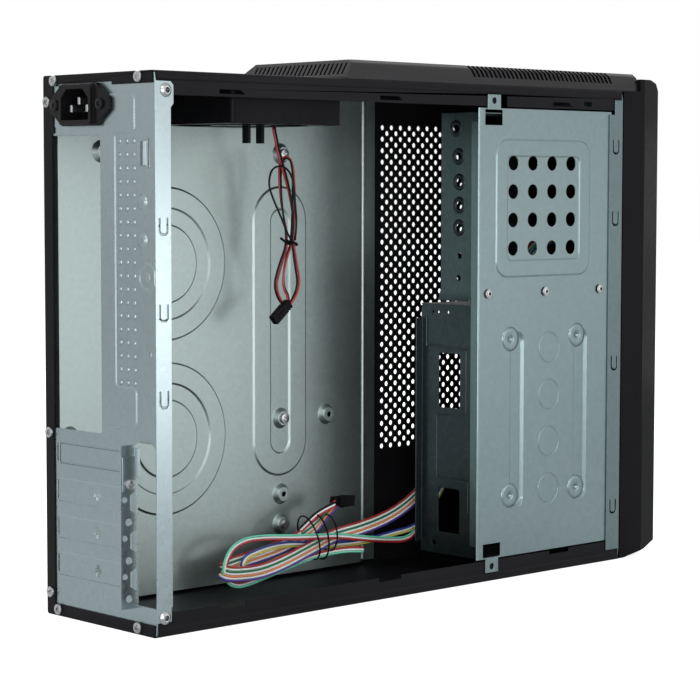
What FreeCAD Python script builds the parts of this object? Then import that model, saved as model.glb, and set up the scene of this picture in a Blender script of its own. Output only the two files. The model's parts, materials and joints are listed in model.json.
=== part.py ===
"""Slim mini ITX computer case with its near side cover taken off.

Millimetres. X runs from the rear panel to the bezel, Y from the open near side to the far wall, Z up.
Every piece is drawn from the rear, near, bottom corner of the outer shell. The placement of each body
then moves that corner so that the origin lies at the centre of the shell's base.
"""
import FreeCAD, Part
import Sketcher
import math
import os
from types import SimpleNamespace

doc = FreeCAD.newDocument("slim_case")
sheet = doc.addObject("Spreadsheet::Sheet", "Sizes")
ALONG = {"x": "YZ_Plane", "y": "XZ_Plane", "z": "XY_Plane"}
TINY = 1e-6
pieces = []
rows = []


class Size:
    """A length together with the sheet formula that gives it."""

    def __init__(self, value, text):
        self.value = value
        self.text = text

    def __add__(self, other):
        return Size(self.value + number(other), f"({self.text} + {formula(other)})")

    def __radd__(self, other):
        return Size(number(other) + self.value, f"({formula(other)} + {self.text})")

    def __sub__(self, other):
        return Size(self.value - number(other), f"({self.text} - {formula(other)})")

    def __rsub__(self, other):
        return Size(number(other) - self.value, f"({formula(other)} - {self.text})")

    def __mul__(self, other):
        return Size(self.value * number(other), f"({self.text} * {formula(other)})")

    def __rmul__(self, other):
        return Size(number(other) * self.value, f"({formula(other)} * {self.text})")

    def __truediv__(self, other):
        return Size(self.value / number(other), f"({self.text} / {formula(other)})")

    def __neg__(self):
        return Size(-self.value, f"(0 - {self.text})")


def number(length):
    return length.value if isinstance(length, Size) else float(length)


def formula(length):
    return length.text if isinstance(length, Size) else f"({float(length)})"


def sizes(group, **values):
    """Writes one named cell for each size, and returns them as a group of sizes.

    A value that is itself a sum of sizes becomes a formula in its cell, so it follows them.
    """
    made = SimpleNamespace()
    for name, value in values.items():
        alias = f"{group}_{name}"
        rows.append(alias)
        sheet.set(f"A{len(rows)}", alias)
        cell = "=" + value.text.replace("Sizes.", "") if isinstance(value, Size) else str(value)
        sheet.set(f"B{len(rows)}", cell)
        sheet.setAlias(f"B{len(rows)}", alias)
        sheet.recompute()
        setattr(made, name, Size(float(sheet.get(alias)), f"Sizes.{alias}"))
    return made


# Driving sizes

case = sizes("case", depth=372.0, width=97.0, height=295.0)
steel = sizes("steel", thick=0.8, fold=1.5)
zinc = sizes("zinc", thick=0.8)
fit = sizes("fit", screw=0.05, slip=0.3, panel=0.2)
press = sizes("press", lean=50.0, shallow=30.0)
lip = sizes("lip", height=12.5, joggle=4.2, slope=0.8, relief=2.0, relief_height=16.0)
hook = sizes(
    "hook", first=44.6, second=161.8, third=case.depth - 65.4, length=17.6, height=2.3, slope=3.0, below=8.7,
)
notch = sizes(
    "notch", left=260.6, length=5.6, height=7.3, small_left=case.depth - 36.6, small_length=7.2,
    small_low=case.height - 10.5, small_height=2.8,
)
turn = sizes("turn", top=6.5, far=7.5, far_top=9.4, wide_from=case.height - 31.3, bottom=6.5, near=1.5)
vent = sizes(
    "vent", left=262.0, bottom=76.0, pitch_x=17.6, pitch_z=17.0, radius=3.7, columns=5, rows=12,
)
grille = sizes("grille", length=66.0, height=4.5, pitch=10.5, count=7)
screw = sizes("screw", head=3.0, head_height=1.7, shank=1.5, length=5.0, rivet_head=2.85)
board = sizes(
    "board", near=47.0, far=91.4, low=103.6, high=262.4, corner=1.8,
)
inlet = sizes(
    "inlet", near=36.0, far=88.0, level=case.height - 16.4, height=22.5, plate=3.2, box_width=27.0,
    box_height=19.4, box_depth=17.0, collar=2.2, collar_rim=0.6, mouth_width=24.4, mouth_height=16.4,
    mouth_depth=15.0, mouth_chamfer=5.0, hole_span=40.0, tip=6.0, pin_width=4.0, pin_thick=2.0,
    pin_length=12.0, pin_span=7.0, pin_lift=2.0,
)
flange = sizes(
    "flange", width=11.3, low=12.0, high=case.height - 5.5, ear_width=13.1, ear_low=case.height - 17.0,
    foot_width=10.5, foot_low=7.7, foot_high=14.8, ear_rivet_x=7.9, ear_rivet_z=case.height - 10.2,
    foot_rivet_x=6.0, foot_rivet_z=10.2,
)
tongue = sizes(
    "tongue", middle=6.1, width=6.3, slit=1.1, height=9.0, corner=1.6, first=210.0, second=165.2, third=120.0,
)
rail = sizes(
    "rail", level=16.7, reach=10.0, low=14.0, high=100.6, hole=1.55, hole_x=-7.4, hole_lift=1.8,
    dimple=1.95, dimple_x=-4.8, window=3.8, window_slope=2.0, clear=0.9,
)
slot = sizes(
    "slot", first=90.4, pitch=20.32, field=11.8, near=20.5, far=85.5, plus_y=50.5, plus_arm=6.4,
    plus_width=2.2, slit_near=86.6, slit_width=1.4, emboss=0.5,
)
cover = sizes(
    "cover", far=88.0, low=82.8, high=98.6, tab_reach=9.2, tab_low=76.1, tab_high=94.4, screw_z=79.9,
    neck=1.25, inset=1.0,
)
ridge = sizes(
    "ridge", near=17.3, far=42.6, high=case.height - 12.0, step=case.height - 31.5, inner=34.0, low=129.5,
    base=109.5, box_near=16.6, corner=3.0, height=0.7,
)
dome = sizes("dome", across=10.8, upper=227.2, lower=207.3, radius=4.2, height=1.6)
latch = sizes(
    "latch", across=10.4, low=246.0, high=258.6, radius=3.2, height=2.2, slit_near=4.4, slit_far=6.2,
    slit_low=244.6, slit_high=260.0,
)
badge = sizes(
    "badge", across=7.2, level=188.0, outer=7.7, inner=5.6, disc=2.7, height=0.5, hole=1.3, hole_z=148.2,
)
tray = sizes(
    "tray", rear=5.6, right=232.5, foot=236.0, front=248.0, level=case.width - 5.4, low=2.5,
    high=case.height - 2.5, bead=1.0, ring_x=79.75, ring_upper=191.2, ring_lower=91.1, ring_outer=44.0,
    ring_inner=31.4, ring_disc=22.8, bead_left=144.9, bead_right=186.9, bead_low=62.7, bead_high=235.3,
    bead_width=13.0, slope=1.0,
)
boss = sizes(
    "boss", base=6.2, top=4.2, height=3.2, hole=1.6, itx_left=10.2, itx_mid=33.0, itx_right=165.1,
    itx_low=97.1, itx_high=254.5, wide_x=203.4, row_low=51.5, row_base=33.3, rear_shift=1.6,
)
cage = sizes(
    "cage", left=242.0, right=case.depth - 11.0, low=13.4, high=case.height - 13.4, fold=6.0, bend=1.2,
    fold_gap=8.0, tab_left=248.8, tab_right=259.9, tab_high=case.height - 5.5, tab_low=5.3,
    notch_left=247.4, notch_right=262.4, notch_height=10.0, notch_high=22.4, bridge=1.0, tab_hole=1.9,
    tab_hole_down=3.6, bead_left=256.4, bead_right=340.9, bead_low=181.2, bead_high=263.6, bead_width=9.6,
    bead_corner=10.0, bead_height=0.8, hole_left=272.0, hole_low=198.5, hole_pitch_x=17.2,
    hole_pitch_z=16.95, hole=4.3, holes=4, rib_first=276.2, rib_second=333.6, rib_low=42.0,
    rib_high=149.0, rib_width=13.0, rib_depth=1.6,
    stamp_x=304.5, stamp_low=51.5, stamp_pitch=28.75, stamps=4, stamp=9.5, stamp_line=0.8,
    stamp_depth=0.3, rivet_first=250.5, rivet_pitch=50.2, rivet_z=172.0, rivets=3, rivet_length=3.1,
)
disk = sizes(
    "disk", wall=cage.left + 1.3, depth=33.0, low=174.6, high=cage.high - 2.6, lip_low=167.5, lip_out=2.5,
    short=5.0, hole=1.7, mid_hole=2.3, big_hole=2.7, row_y=18.0,
)
optical = sizes(
    "optical", wall=cage.left + 2.0, far=50.0, low=cage.low + 0.3, high=165.0, flange=5.0, flange_low=20.0,
    flange_high=156.0, shelf=110.0, corner=3.0, window_near=17.4, window_far=35.2, window_low=102.7,
    window_high=135.5, second_low=27.0, second_high=54.0, window_corner=1.5, groove=1.2,
    groove_depth=0.4, hole=1.6, small_hole=0.9, hole_y=38.6, hole_z=19.8, row_z=160.2,
)
frame = sizes(
    "frame", strip_left=case.depth - 13.4, front=case.depth - 1.0, strip_low=7.0,
    strip_high=case.height - 6.0, shoulder=case.height - 15.0, step_left=case.depth - 8.4, bar=9.0, rail_low=166.0, rail_width=8.0,
    post=52.0, post_width=6.0,
)
hatch = sizes("hatch", first=255.5, second=210.9, third=120.4, fourth=29.8, middle=case.depth - 7.0)
bezel = sizes(
    "bezel", low=0.4, high=case.height + 7.7, split=case.depth + 20.6, front=case.depth + 34.0,
    step=case.depth + 16.0, wall=2.4, toe=case.depth + 4.0, chin=8.6, chin_front=case.depth + 25.0,
    chin_low=4.0, seam_low=3.1, brow=7.0, brow_cut=2.1, bay_near=4.0, bay_far=48.0, bay_low=15.0,
    bay_high=163.0, side=14.0, window_low=20.0, window_high=150.0, upper_near=12.0, upper_low=190.0,
    upper_high=270.0,
)
clip = sizes("clip", reach=8.0, width=10.0, thick=2.4, low=190.0, high=262.0)
button = sizes(
    "button", middle=48.5, power_z=203.0, reset_z=179.0, power=5.5, reset=3.0, proud=1.2, stem=1.6,
    collar=1.2, edge=0.6,
)
travel = sizes("travel", button=1.5)
panel = sizes(
    "panel", rear=case.depth + 16.0, thick=1.6, near=37.0, far=60.0, low=168.0, high=282.0, post=2.2,
    inset=3.5, switch=6.0, switch_depth=4.2, plunger=1.6, plunger_depth=0.8, lens_z=191.0, lens=1.5,
    lens_rim=0.6, lens_proud=0.2,
)
usb = sizes("usb", low=220.0, pitch=17.0, width=5.8, height=13.2, depth=13.6, wall=0.6, tongue=1.8, floor=2.0)
audio = sizes("audio", low=254.0, pitch=13.0, body=10.0, bore=1.8, nose=3.2, floor=3.0)
roof = sizes(
    "roof", rear=137.0, front=case.depth + 15.6, height=11.0, near=2.0, far=case.width - 2.0, bevel=9.0,
    wall=2.0, ramp=6.0, skirt=4.0, louvre_left=236.0, louvre_pitch=3.7, louvre_width=2.0,
    louvres=34, louvre_low=4.3, louvre_lean=3.0, rib_pitch=3.6, rib_width=1.4, ribs=22, rib_low=2.5,
    rib_high=2.0, lip=1.2,
)
fan = sizes(
    "fan", rear=60.0, near=9.0, side=80.0, depth=25.0, duct=38.0, corner=3.0, hub=17.0, motor=15.0,
    strut=4.5, strut_depth=3.0, hole=2.2, hole_span=71.5, hub_depth=18.0, wall=1.6, shaft=1.5, running=0.05,
    blade=36.6, blade_thick=1.4, blade_chord=17.0, blades=7, leg=10.0, leg_x=95.8, leg_y=38.0,
    leg_gap=10.0, leg_thick=2.2, leg_width=5.0, screw_head=2.8, screw_length=9.0,
)
wire = sizes("wire", fan=2.6, tail=9.0)
lead = sizes(
    "lead", tie_x=149.1, tie_y=63.2, tie_z=202.0, tie=3.7, tie_thick=0.9, tie_height=1.8, plug=8.0,
    plug_depth=5.5, plug_length=14.0,
)
hank = sizes(
    "hank", left=98.0, right=206.0, near=60.0, far=74.0, high=39.0, tie=1.4, tie_first=174.0,
    tie_second=183.0, plug_left=187.0, plug_step=2.0, plug_inset=0.5, plug_gap=0.6, plug_length=13.0,
    plug_width=3.6, plug_height=7.0, plugs=3,
)

half_depth = case.depth / 2
half_width = case.width / 2
shell_far = case.width - steel.thick
shell_top = case.height - steel.thick
panel_face = steel.thick
panel_back = steel.thick + zinc.thick


# Drawing tools


def bind(thing, path, length):
    thing.setExpression(path, formula(length))


def place(thing):
    """Moves a body from the shell's corner to the shared origin."""
    bind(thing, "Placement.Base.x", -half_depth)
    bind(thing, "Placement.Base.y", -half_width)


def new_body(name):
    body = doc.addObject("PartDesign::Body", name)
    body.Label = name
    place(body)
    pieces.append(body)
    return body


def origin_part(body, role):
    return next(part for part in body.Origin.OriginFeatures if part.Role == role)


def new_sketch(body, plane, x=0, y=0, z=0):
    """A sketch on one of the body's own planes, with its origin moved by x, y and z of the sketch."""
    sketch = body.newObject("Sketcher::SketchObject", "outline")
    sketch.AttachmentSupport = [(origin_part(body, plane), "")]
    sketch.MapMode = "FlatFace"
    bind(sketch, "AttachmentOffset.Base.x", x)
    bind(sketch, "AttachmentOffset.Base.y", y)
    bind(sketch, "AttachmentOffset.Base.z", z)
    return sketch


def flat(point):
    return FreeCAD.Vector(number(point[0]), number(point[1]), 0)


def fix(sketch, kind, *target):
    """Adds a dimension and ties it to the sheet."""
    index = sketch.addConstraint(Sketcher.Constraint(kind, *target[:-1], number(target[-1])))
    bind(sketch, f"Constraints[{index}]", target[-1])


def pin(sketch, line, end, point):
    fix(sketch, "DistanceX", line, end, point[0])
    fix(sketch, "DistanceY", line, end, point[1])


def polygon(*points):
    def draw(sketch):
        first = sketch.GeometryCount
        count = len(points)
        for index in range(count):
            side = Part.LineSegment(flat(points[index]), flat(points[(index + 1) % count]))
            sketch.addGeometry(side, False)
        for index in range(count):
            following = first + (index + 1) % count
            sketch.addConstraint(Sketcher.Constraint("Coincident", first + index, 2, following, 1))
            pin(sketch, first + index, 1, points[index])

    return draw


def rectangle(left, low, right, high):
    return polygon((left, low), (right, low), (right, high), (left, high))


def box(left, low, width, height):
    return rectangle(left, low, left + width, low + height)


def circle(across, up, radius):
    def draw(sketch):
        centre = flat((across, up))
        ring = sketch.addGeometry(Part.Circle(centre, FreeCAD.Vector(0, 0, 1), number(radius)), False)
        pin(sketch, ring, 3, (across, up))
        fix(sketch, "Radius", ring, radius)

    return draw


def upright_slot(left, low, right, high):
    """A slot with round ends at its top and bottom."""

    def draw(sketch):
        middle = (left + right) / 2
        radius = (right - left) / 2
        ends = (low + radius, high - radius)
        up = FreeCAD.Vector(0, 0, 1)
        lower = Part.Circle(flat((middle, ends[0])), up, number(radius))
        upper = Part.Circle(flat((middle, ends[1])), up, number(radius))
        first = sketch.addGeometry(Part.ArcOfCircle(upper, 0, math.pi), False)
        sketch.addGeometry(Part.LineSegment(flat((left, ends[1])), flat((left, ends[0]))), False)
        sketch.addGeometry(Part.ArcOfCircle(lower, math.pi, 2 * math.pi), False)
        sketch.addGeometry(Part.LineSegment(flat((right, ends[0])), flat((right, ends[1]))), False)
        for index in range(4):
            following = first + (index + 1) % 4
            sketch.addConstraint(Sketcher.Constraint("Tangent", first + index, 2, following, 1))
        for arc, height in ((first, ends[1]), (first + 2, ends[0])):
            pin(sketch, arc, 3, (middle, height))
            fix(sketch, "Radius", arc, radius)

    return draw


def rounded(left, low, right, high, radius):
    """A rectangle with four round corners."""

    def draw(sketch):
        up = FreeCAD.Vector(0, 0, 1)
        centres = (
            (right - radius, high - radius), (left + radius, high - radius),
            (left + radius, low + radius), (right - radius, low + radius),
        )
        tops = ((right - radius, high), (left, high - radius), (left + radius, low), (right, low + radius))
        ends = ((left + radius, high), (left, low + radius), (right - radius, low), (right, high - radius))
        first = sketch.GeometryCount
        for index in range(4):
            corner = Part.Circle(flat(centres[index]), up, number(radius))
            sketch.addGeometry(Part.ArcOfCircle(corner, index * math.pi / 2, (index + 1) * math.pi / 2), False)
            sketch.addGeometry(Part.LineSegment(flat(tops[index]), flat(ends[index])), False)
        for index in range(8):
            following = first + (index + 1) % 8
            sketch.addConstraint(Sketcher.Constraint("Tangent", first + index, 2, following, 1))
        for index in range(4):
            pin(sketch, first + 2 * index, 3, centres[index])
            fix(sketch, "Radius", first + 2 * index, radius)

    return draw


def toward(value, other):
    """The sign of the way from one length to another."""
    return (number(other) > number(value) + TINY) - (number(other) < number(value) - TINY)


def bent(radius, *points):
    """An outline of upright and level sides with every corner rounded."""

    def draw(sketch):
        up = FreeCAD.Vector(0, 0, 1)
        first = sketch.GeometryCount
        count = len(points)
        corners = []
        for index in range(count):
            x, y = points[index]
            before = points[index - 1]
            after = points[(index + 1) % count]
            back = (toward(x, before[0]), toward(y, before[1]))
            on = (toward(x, after[0]), toward(y, after[1]))
            centre = (x + radius * (back[0] + on[0]), y + radius * (back[1] + on[1]))
            left_turn = back[1] * on[0] - back[0] * on[1] > 0
            start = (x + radius * back[0], y + radius * back[1])
            end = (x + radius * on[0], y + radius * on[1])
            opening = (-on[0], -on[1]) if left_turn else (-back[0], -back[1])
            angle = math.atan2(opening[1], opening[0])
            corners.append((centre, start, end, left_turn, angle))
        for index, (centre, start, end, left_turn, angle) in enumerate(corners):
            ring = Part.Circle(flat(centre), up, number(radius))
            sketch.addGeometry(Part.ArcOfCircle(ring, angle, angle + math.pi / 2), False)
            following = corners[(index + 1) % count][1]
            sketch.addGeometry(Part.LineSegment(flat(end), flat(following)), False)
        for index, (centre, start, end, left_turn, angle) in enumerate(corners):
            arc = first + 2 * index
            line = arc + 1
            line_before = first + (2 * index - 1) % (2 * count)
            sketch.addConstraint(Sketcher.Constraint("Tangent", line_before, 2, arc, 1 if left_turn else 2))
            sketch.addConstraint(Sketcher.Constraint("Tangent", arc, 2 if left_turn else 1, line, 1))
        for index, corner in enumerate(corners):
            pin(sketch, first + 2 * index, 3, corner[0])
            fix(sketch, "Radius", first + 2 * index, radius)

    return draw


def volume(body):
    return body.Tip.Shape.Volume if body.Tip else 0.0


def extrude(body, axis, start, length, *outlines, cut=False, lean=None):
    """Adds outlines from start to start + length along an axis, or cuts them away.

    With a lean in degrees the sides open out along the way, or draw in where it is negative.
    """
    before = volume(body)
    sketch = new_sketch(body, ALONG[axis], z=-start if axis == "y" else start)
    for draw in outlines:
        draw(sketch)
    feature = body.newObject("PartDesign::Pocket" if cut else "PartDesign::Pad", "step")
    feature.Profile = sketch
    bind(feature, "Length", length)
    feature.Reversed = (axis == "y") != cut
    if lean is not None:
        bind(feature, "TaperAngle", lean)
    doc.recompute()
    if cut and volume(body) > before - TINY:
        print("nothing was cut from", body.Label, "by", feature.Name)
    return feature


def pocket(body, axis, start, length, *outlines, lean=None):
    return extrude(body, axis, start, length, *outlines, cut=True, lean=lean)


def turned(body, axis, centre, section, cut=False):
    """Turns a section of (along the axis, radius) points round an axis through centre, or cuts it."""
    if axis == "x":
        sketch = new_sketch(body, "XY_Plane", y=centre[0], z=centre[1])
        points = section
    elif axis == "y":
        sketch = new_sketch(body, "XY_Plane", x=centre[0], z=centre[1])
        points = [(radius, along) for along, radius in section]
    else:
        sketch = new_sketch(body, "XZ_Plane", x=centre[0], z=-centre[1])
        points = [(radius, along) for along, radius in section]
    polygon(*points)(sketch)
    feature = body.newObject("PartDesign::Groove" if cut else "PartDesign::Revolution", "turn")
    feature.Profile = sketch
    feature.ReferenceAxis = (sketch, ["H_Axis" if axis == "x" else "V_Axis"])
    feature.Angle = 360
    doc.recompute()
    return feature


def repeat(body, feature, axis, pitch, count, second=None, second_pitch=10, second_count=1):
    """Repeats a feature in a row, or in rows and columns."""
    pattern = body.newObject("PartDesign::LinearPattern", "row")
    pattern.Originals = [feature]
    pattern.Direction = (origin_part(body, f"{axis.upper()}_Axis"), [""])
    pattern.Mode = "Spacing"
    bind(pattern, "Offset", pitch)
    bind(pattern, "Occurrences", count)
    if second:
        pattern.Direction2 = (origin_part(body, f"{second.upper()}_Axis"), [""])
        pattern.Mode2 = "Spacing"
        pattern.Spacings2 = [-1.0]
        bind(pattern, "Offset2", second_pitch)
        bind(pattern, "Occurrences2", second_count)
    body.Tip = pattern
    doc.recompute()
    return pattern


def soften(body, radius, wanted, kind="PartDesign::Fillet"):
    """Rounds, or chamfers, the straight edges of the body whose two ends pass the test."""
    shape = body.Tip.Shape
    names = []
    for index, edge in enumerate(shape.Edges, 1):
        ends = [vertex.Point for vertex in edge.Vertexes]
        if len(ends) == 2 and wanted(*ends):
            names.append(f"Edge{index}")
    base = body.Tip
    feature = body.newObject(kind, "soft")
    feature.Base = (base, names)
    bind(feature, "Radius" if kind.endswith("Fillet") else "Size", radius)
    doc.recompute()
    return feature


def near(value, length):
    return abs(value - number(length)) < 0.01


def fastener(body, axis, face, centre, side=-1, head=None, height=None, shank=None, length=None):
    """A round headed screw or rivet whose head lies on face and whose shank goes the other way."""
    head = head or screw.head
    height = height or screw.head_height
    shank = shank or screw.shank
    length = length or screw.length
    top = face + height * side
    tip = face - length * side
    section = ((tip, 0), (top, 0), (top, head * 0.7), (face, head), (face, shank), (tip, shank))
    turned(body, axis, centre, section)


# Outer shell: one sheet folded round the top, the far side and the bottom

REAR_SCREWS = (
    (12.5, case.height - 3.0), (86.9, case.height - 3.0), (93.0, 280.7), (93.0, 100.8),
    (93.0, 12.5), (86.0, 3.7), (15.1, 3.7),
)


EAR_RIVETS = (
    (flange.ear_rivet_x, flange.ear_rivet_z), (flange.foot_rivet_x, flange.foot_rivet_z),
)


def fan_holes():
    middle_x = fan.rear + fan.side / 2
    middle_y = fan.near + fan.side / 2
    half = fan.hole_span / 2
    return [(middle_x + half * side_x, middle_y + half * side_y) for side_x in (-1, 1) for side_y in (-1, 1)]


def make_outer_shell():
    body = new_body("outer_shell")
    thick = steel.thick
    top = case.height
    wide = case.width
    joggle = lip.joggle
    inner = joggle - thick / 2
    section = polygon(
        (0, 0), (wide, 0), (wide, top), (0, top), (0, top - joggle), (thick, top - joggle - lip.slope),
        (thick, top - lip.height), (thick * 2, top - lip.height), (thick * 2, top - inner - lip.slope),
        (thick, top - inner), (thick, top - thick), (wide - thick, top - thick), (wide - thick, thick),
        (thick, thick), (thick, inner), (thick * 2, inner + lip.slope), (thick * 2, lip.height),
        (thick, lip.height), (thick, joggle + lip.slope), (0, joggle),
    )
    extrude(body, "x", 0, case.depth, section)

    def long_fold(a, b):
        corner = near(a.y, 0) or near(a.y, wide)
        level = near(a.z, 0) or near(a.z, top)
        return corner and level and near(a.y, b.y) and near(a.z, b.z)

    soften(body, steel.fold, long_fold)
    for start in (-1, case.depth - lip.relief):
        for low, high in ((thick, lip.relief_height), (top - lip.relief_height, top - thick)):
            pocket(body, "x", start, lip.relief + 1, rectangle(-1, low, thick * 2 + 1, high))
    far_in = wide - turn.far
    shoulder = wide - turn.far_top
    extrude(body, "x", 0, thick, polygon(
        (turn.near, top - thick / 2), (turn.near, top - turn.top), (shoulder, top - turn.top),
        (shoulder, turn.wide_from), (far_in, turn.wide_from), (far_in, turn.bottom),
        (turn.near, turn.bottom), (turn.near, thick / 2), (wide - thick / 2, thick / 2),
        (wide - thick / 2, top - thick / 2),
    ))
    slots = []
    for left in (hook.first, hook.second, hook.third):
        low = top - hook.below - hook.height
        high = top - hook.below
        slots.append(polygon(
            (left, low), (left + hook.length, low), (left + hook.length - hook.slope, high), (left, high),
        ))
        slots.append(rectangle(left, lip.height - hook.height, left + hook.length, lip.height + 1))
    small_high = notch.small_low + notch.small_height
    slots.append(rectangle(notch.small_left, notch.small_low, notch.small_left + notch.small_length, small_high))
    slots.append(rectangle(
        notch.left, top - lip.height - 1, notch.left + notch.length, top - lip.height + notch.height,
    ))
    pocket(body, "y", -1, thick * 2 + 2, *slots)
    hexagon = []
    for corner in range(6):
        angle = math.radians(60 * corner + 30)
        hexagon.append((vent.left + vent.radius * math.cos(angle), vent.bottom + vent.radius * math.sin(angle)))
    shifted = [(x + vent.pitch_x / 2, z + vent.pitch_z / 2) for x, z in hexagon]
    for outline, fewer in ((hexagon, 0), (shifted, 1)):
        hole = pocket(body, "y", wide - thick - 1, thick + 2, polygon(*outline))
        repeat(body, hole, "x", vent.pitch_x, vent.columns, "z", vent.pitch_z, vent.rows - fewer)
    slot_left = fan.rear + (fan.side - grille.length) / 2
    slot_low = fan.near + fan.side / 2 - grille.pitch * (grille.count - 1) / 2 - grille.height / 2
    opening = pocket(body, "z", top - thick - 1, thick + 2, box(slot_left, slot_low, grille.length, grille.height))
    repeat(body, opening, "y", grille.pitch, grille.count)
    holes = [circle(y, z, screw.shank + fit.screw) for y, z in REAR_SCREWS]
    pocket(body, "x", -1, thick + 2, *holes)
    half = inlet.height / 2 + fit.slip
    pocket(body, "x", -1, thick + 1, rectangle(
        inlet.near - fit.slip, inlet.level - half, inlet.far + fit.slip, inlet.level + half,
    ))
    pocket(body, "z", top - thick - 1, thick + 2, *[circle(x, y, fan.screw_head + fit.screw) for x, y in fan_holes()])
    pocket(body, "y", 0, thick * 3, *[circle(x, z, screw.shank + fit.screw) for x, z in EAR_RIVETS])


# Rear panel: galvanised sheet with its near flange and the slot screw rail folded from it


def u_slit(middle, low):
    """The U-shaped slit that frees a tongue, open side up."""
    left = middle - tongue.width / 2
    right = middle + tongue.width / 2
    high = low + tongue.height
    wide = tongue.slit
    corner = tongue.corner
    return polygon(
        (left, high), (left, low + corner), (left + corner, low), (right - corner, low),
        (right, low + corner), (right, high), (right - wide, high), (right - wide, low + corner + wide / 2),
        (right - wide - corner / 2, low + wide), (left + wide + corner / 2, low + wide),
        (left + wide, low + corner + wide / 2), (left + wide, high),
    )


def slot_middle(index):
    return slot.first - slot.pitch * index


inlet_middle = (inlet.near + inlet.far) / 2 + fit.panel * 2.5


def inlet_holes():
    half = inlet.hole_span / 2
    return ((inlet_middle - half, inlet.level), (inlet_middle + half, inlet.level))


def inlet_plate(grow):
    """The outline of the power inlet's plate, grown on every side."""
    half = inlet.height / 2
    low = inlet.level - half - grow
    high = inlet.level + half + grow
    side = (inlet.tip + grow) / 2
    left = inlet.near - grow
    right = inlet.far + grow
    return polygon(
        (left, inlet.level - side), (inlet.near + half, low), (inlet.far - half, low),
        (right, inlet.level - side), (right, inlet.level + side), (inlet.far - half, high),
        (inlet.near + half, high), (left, inlet.level + side),
    )


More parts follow.
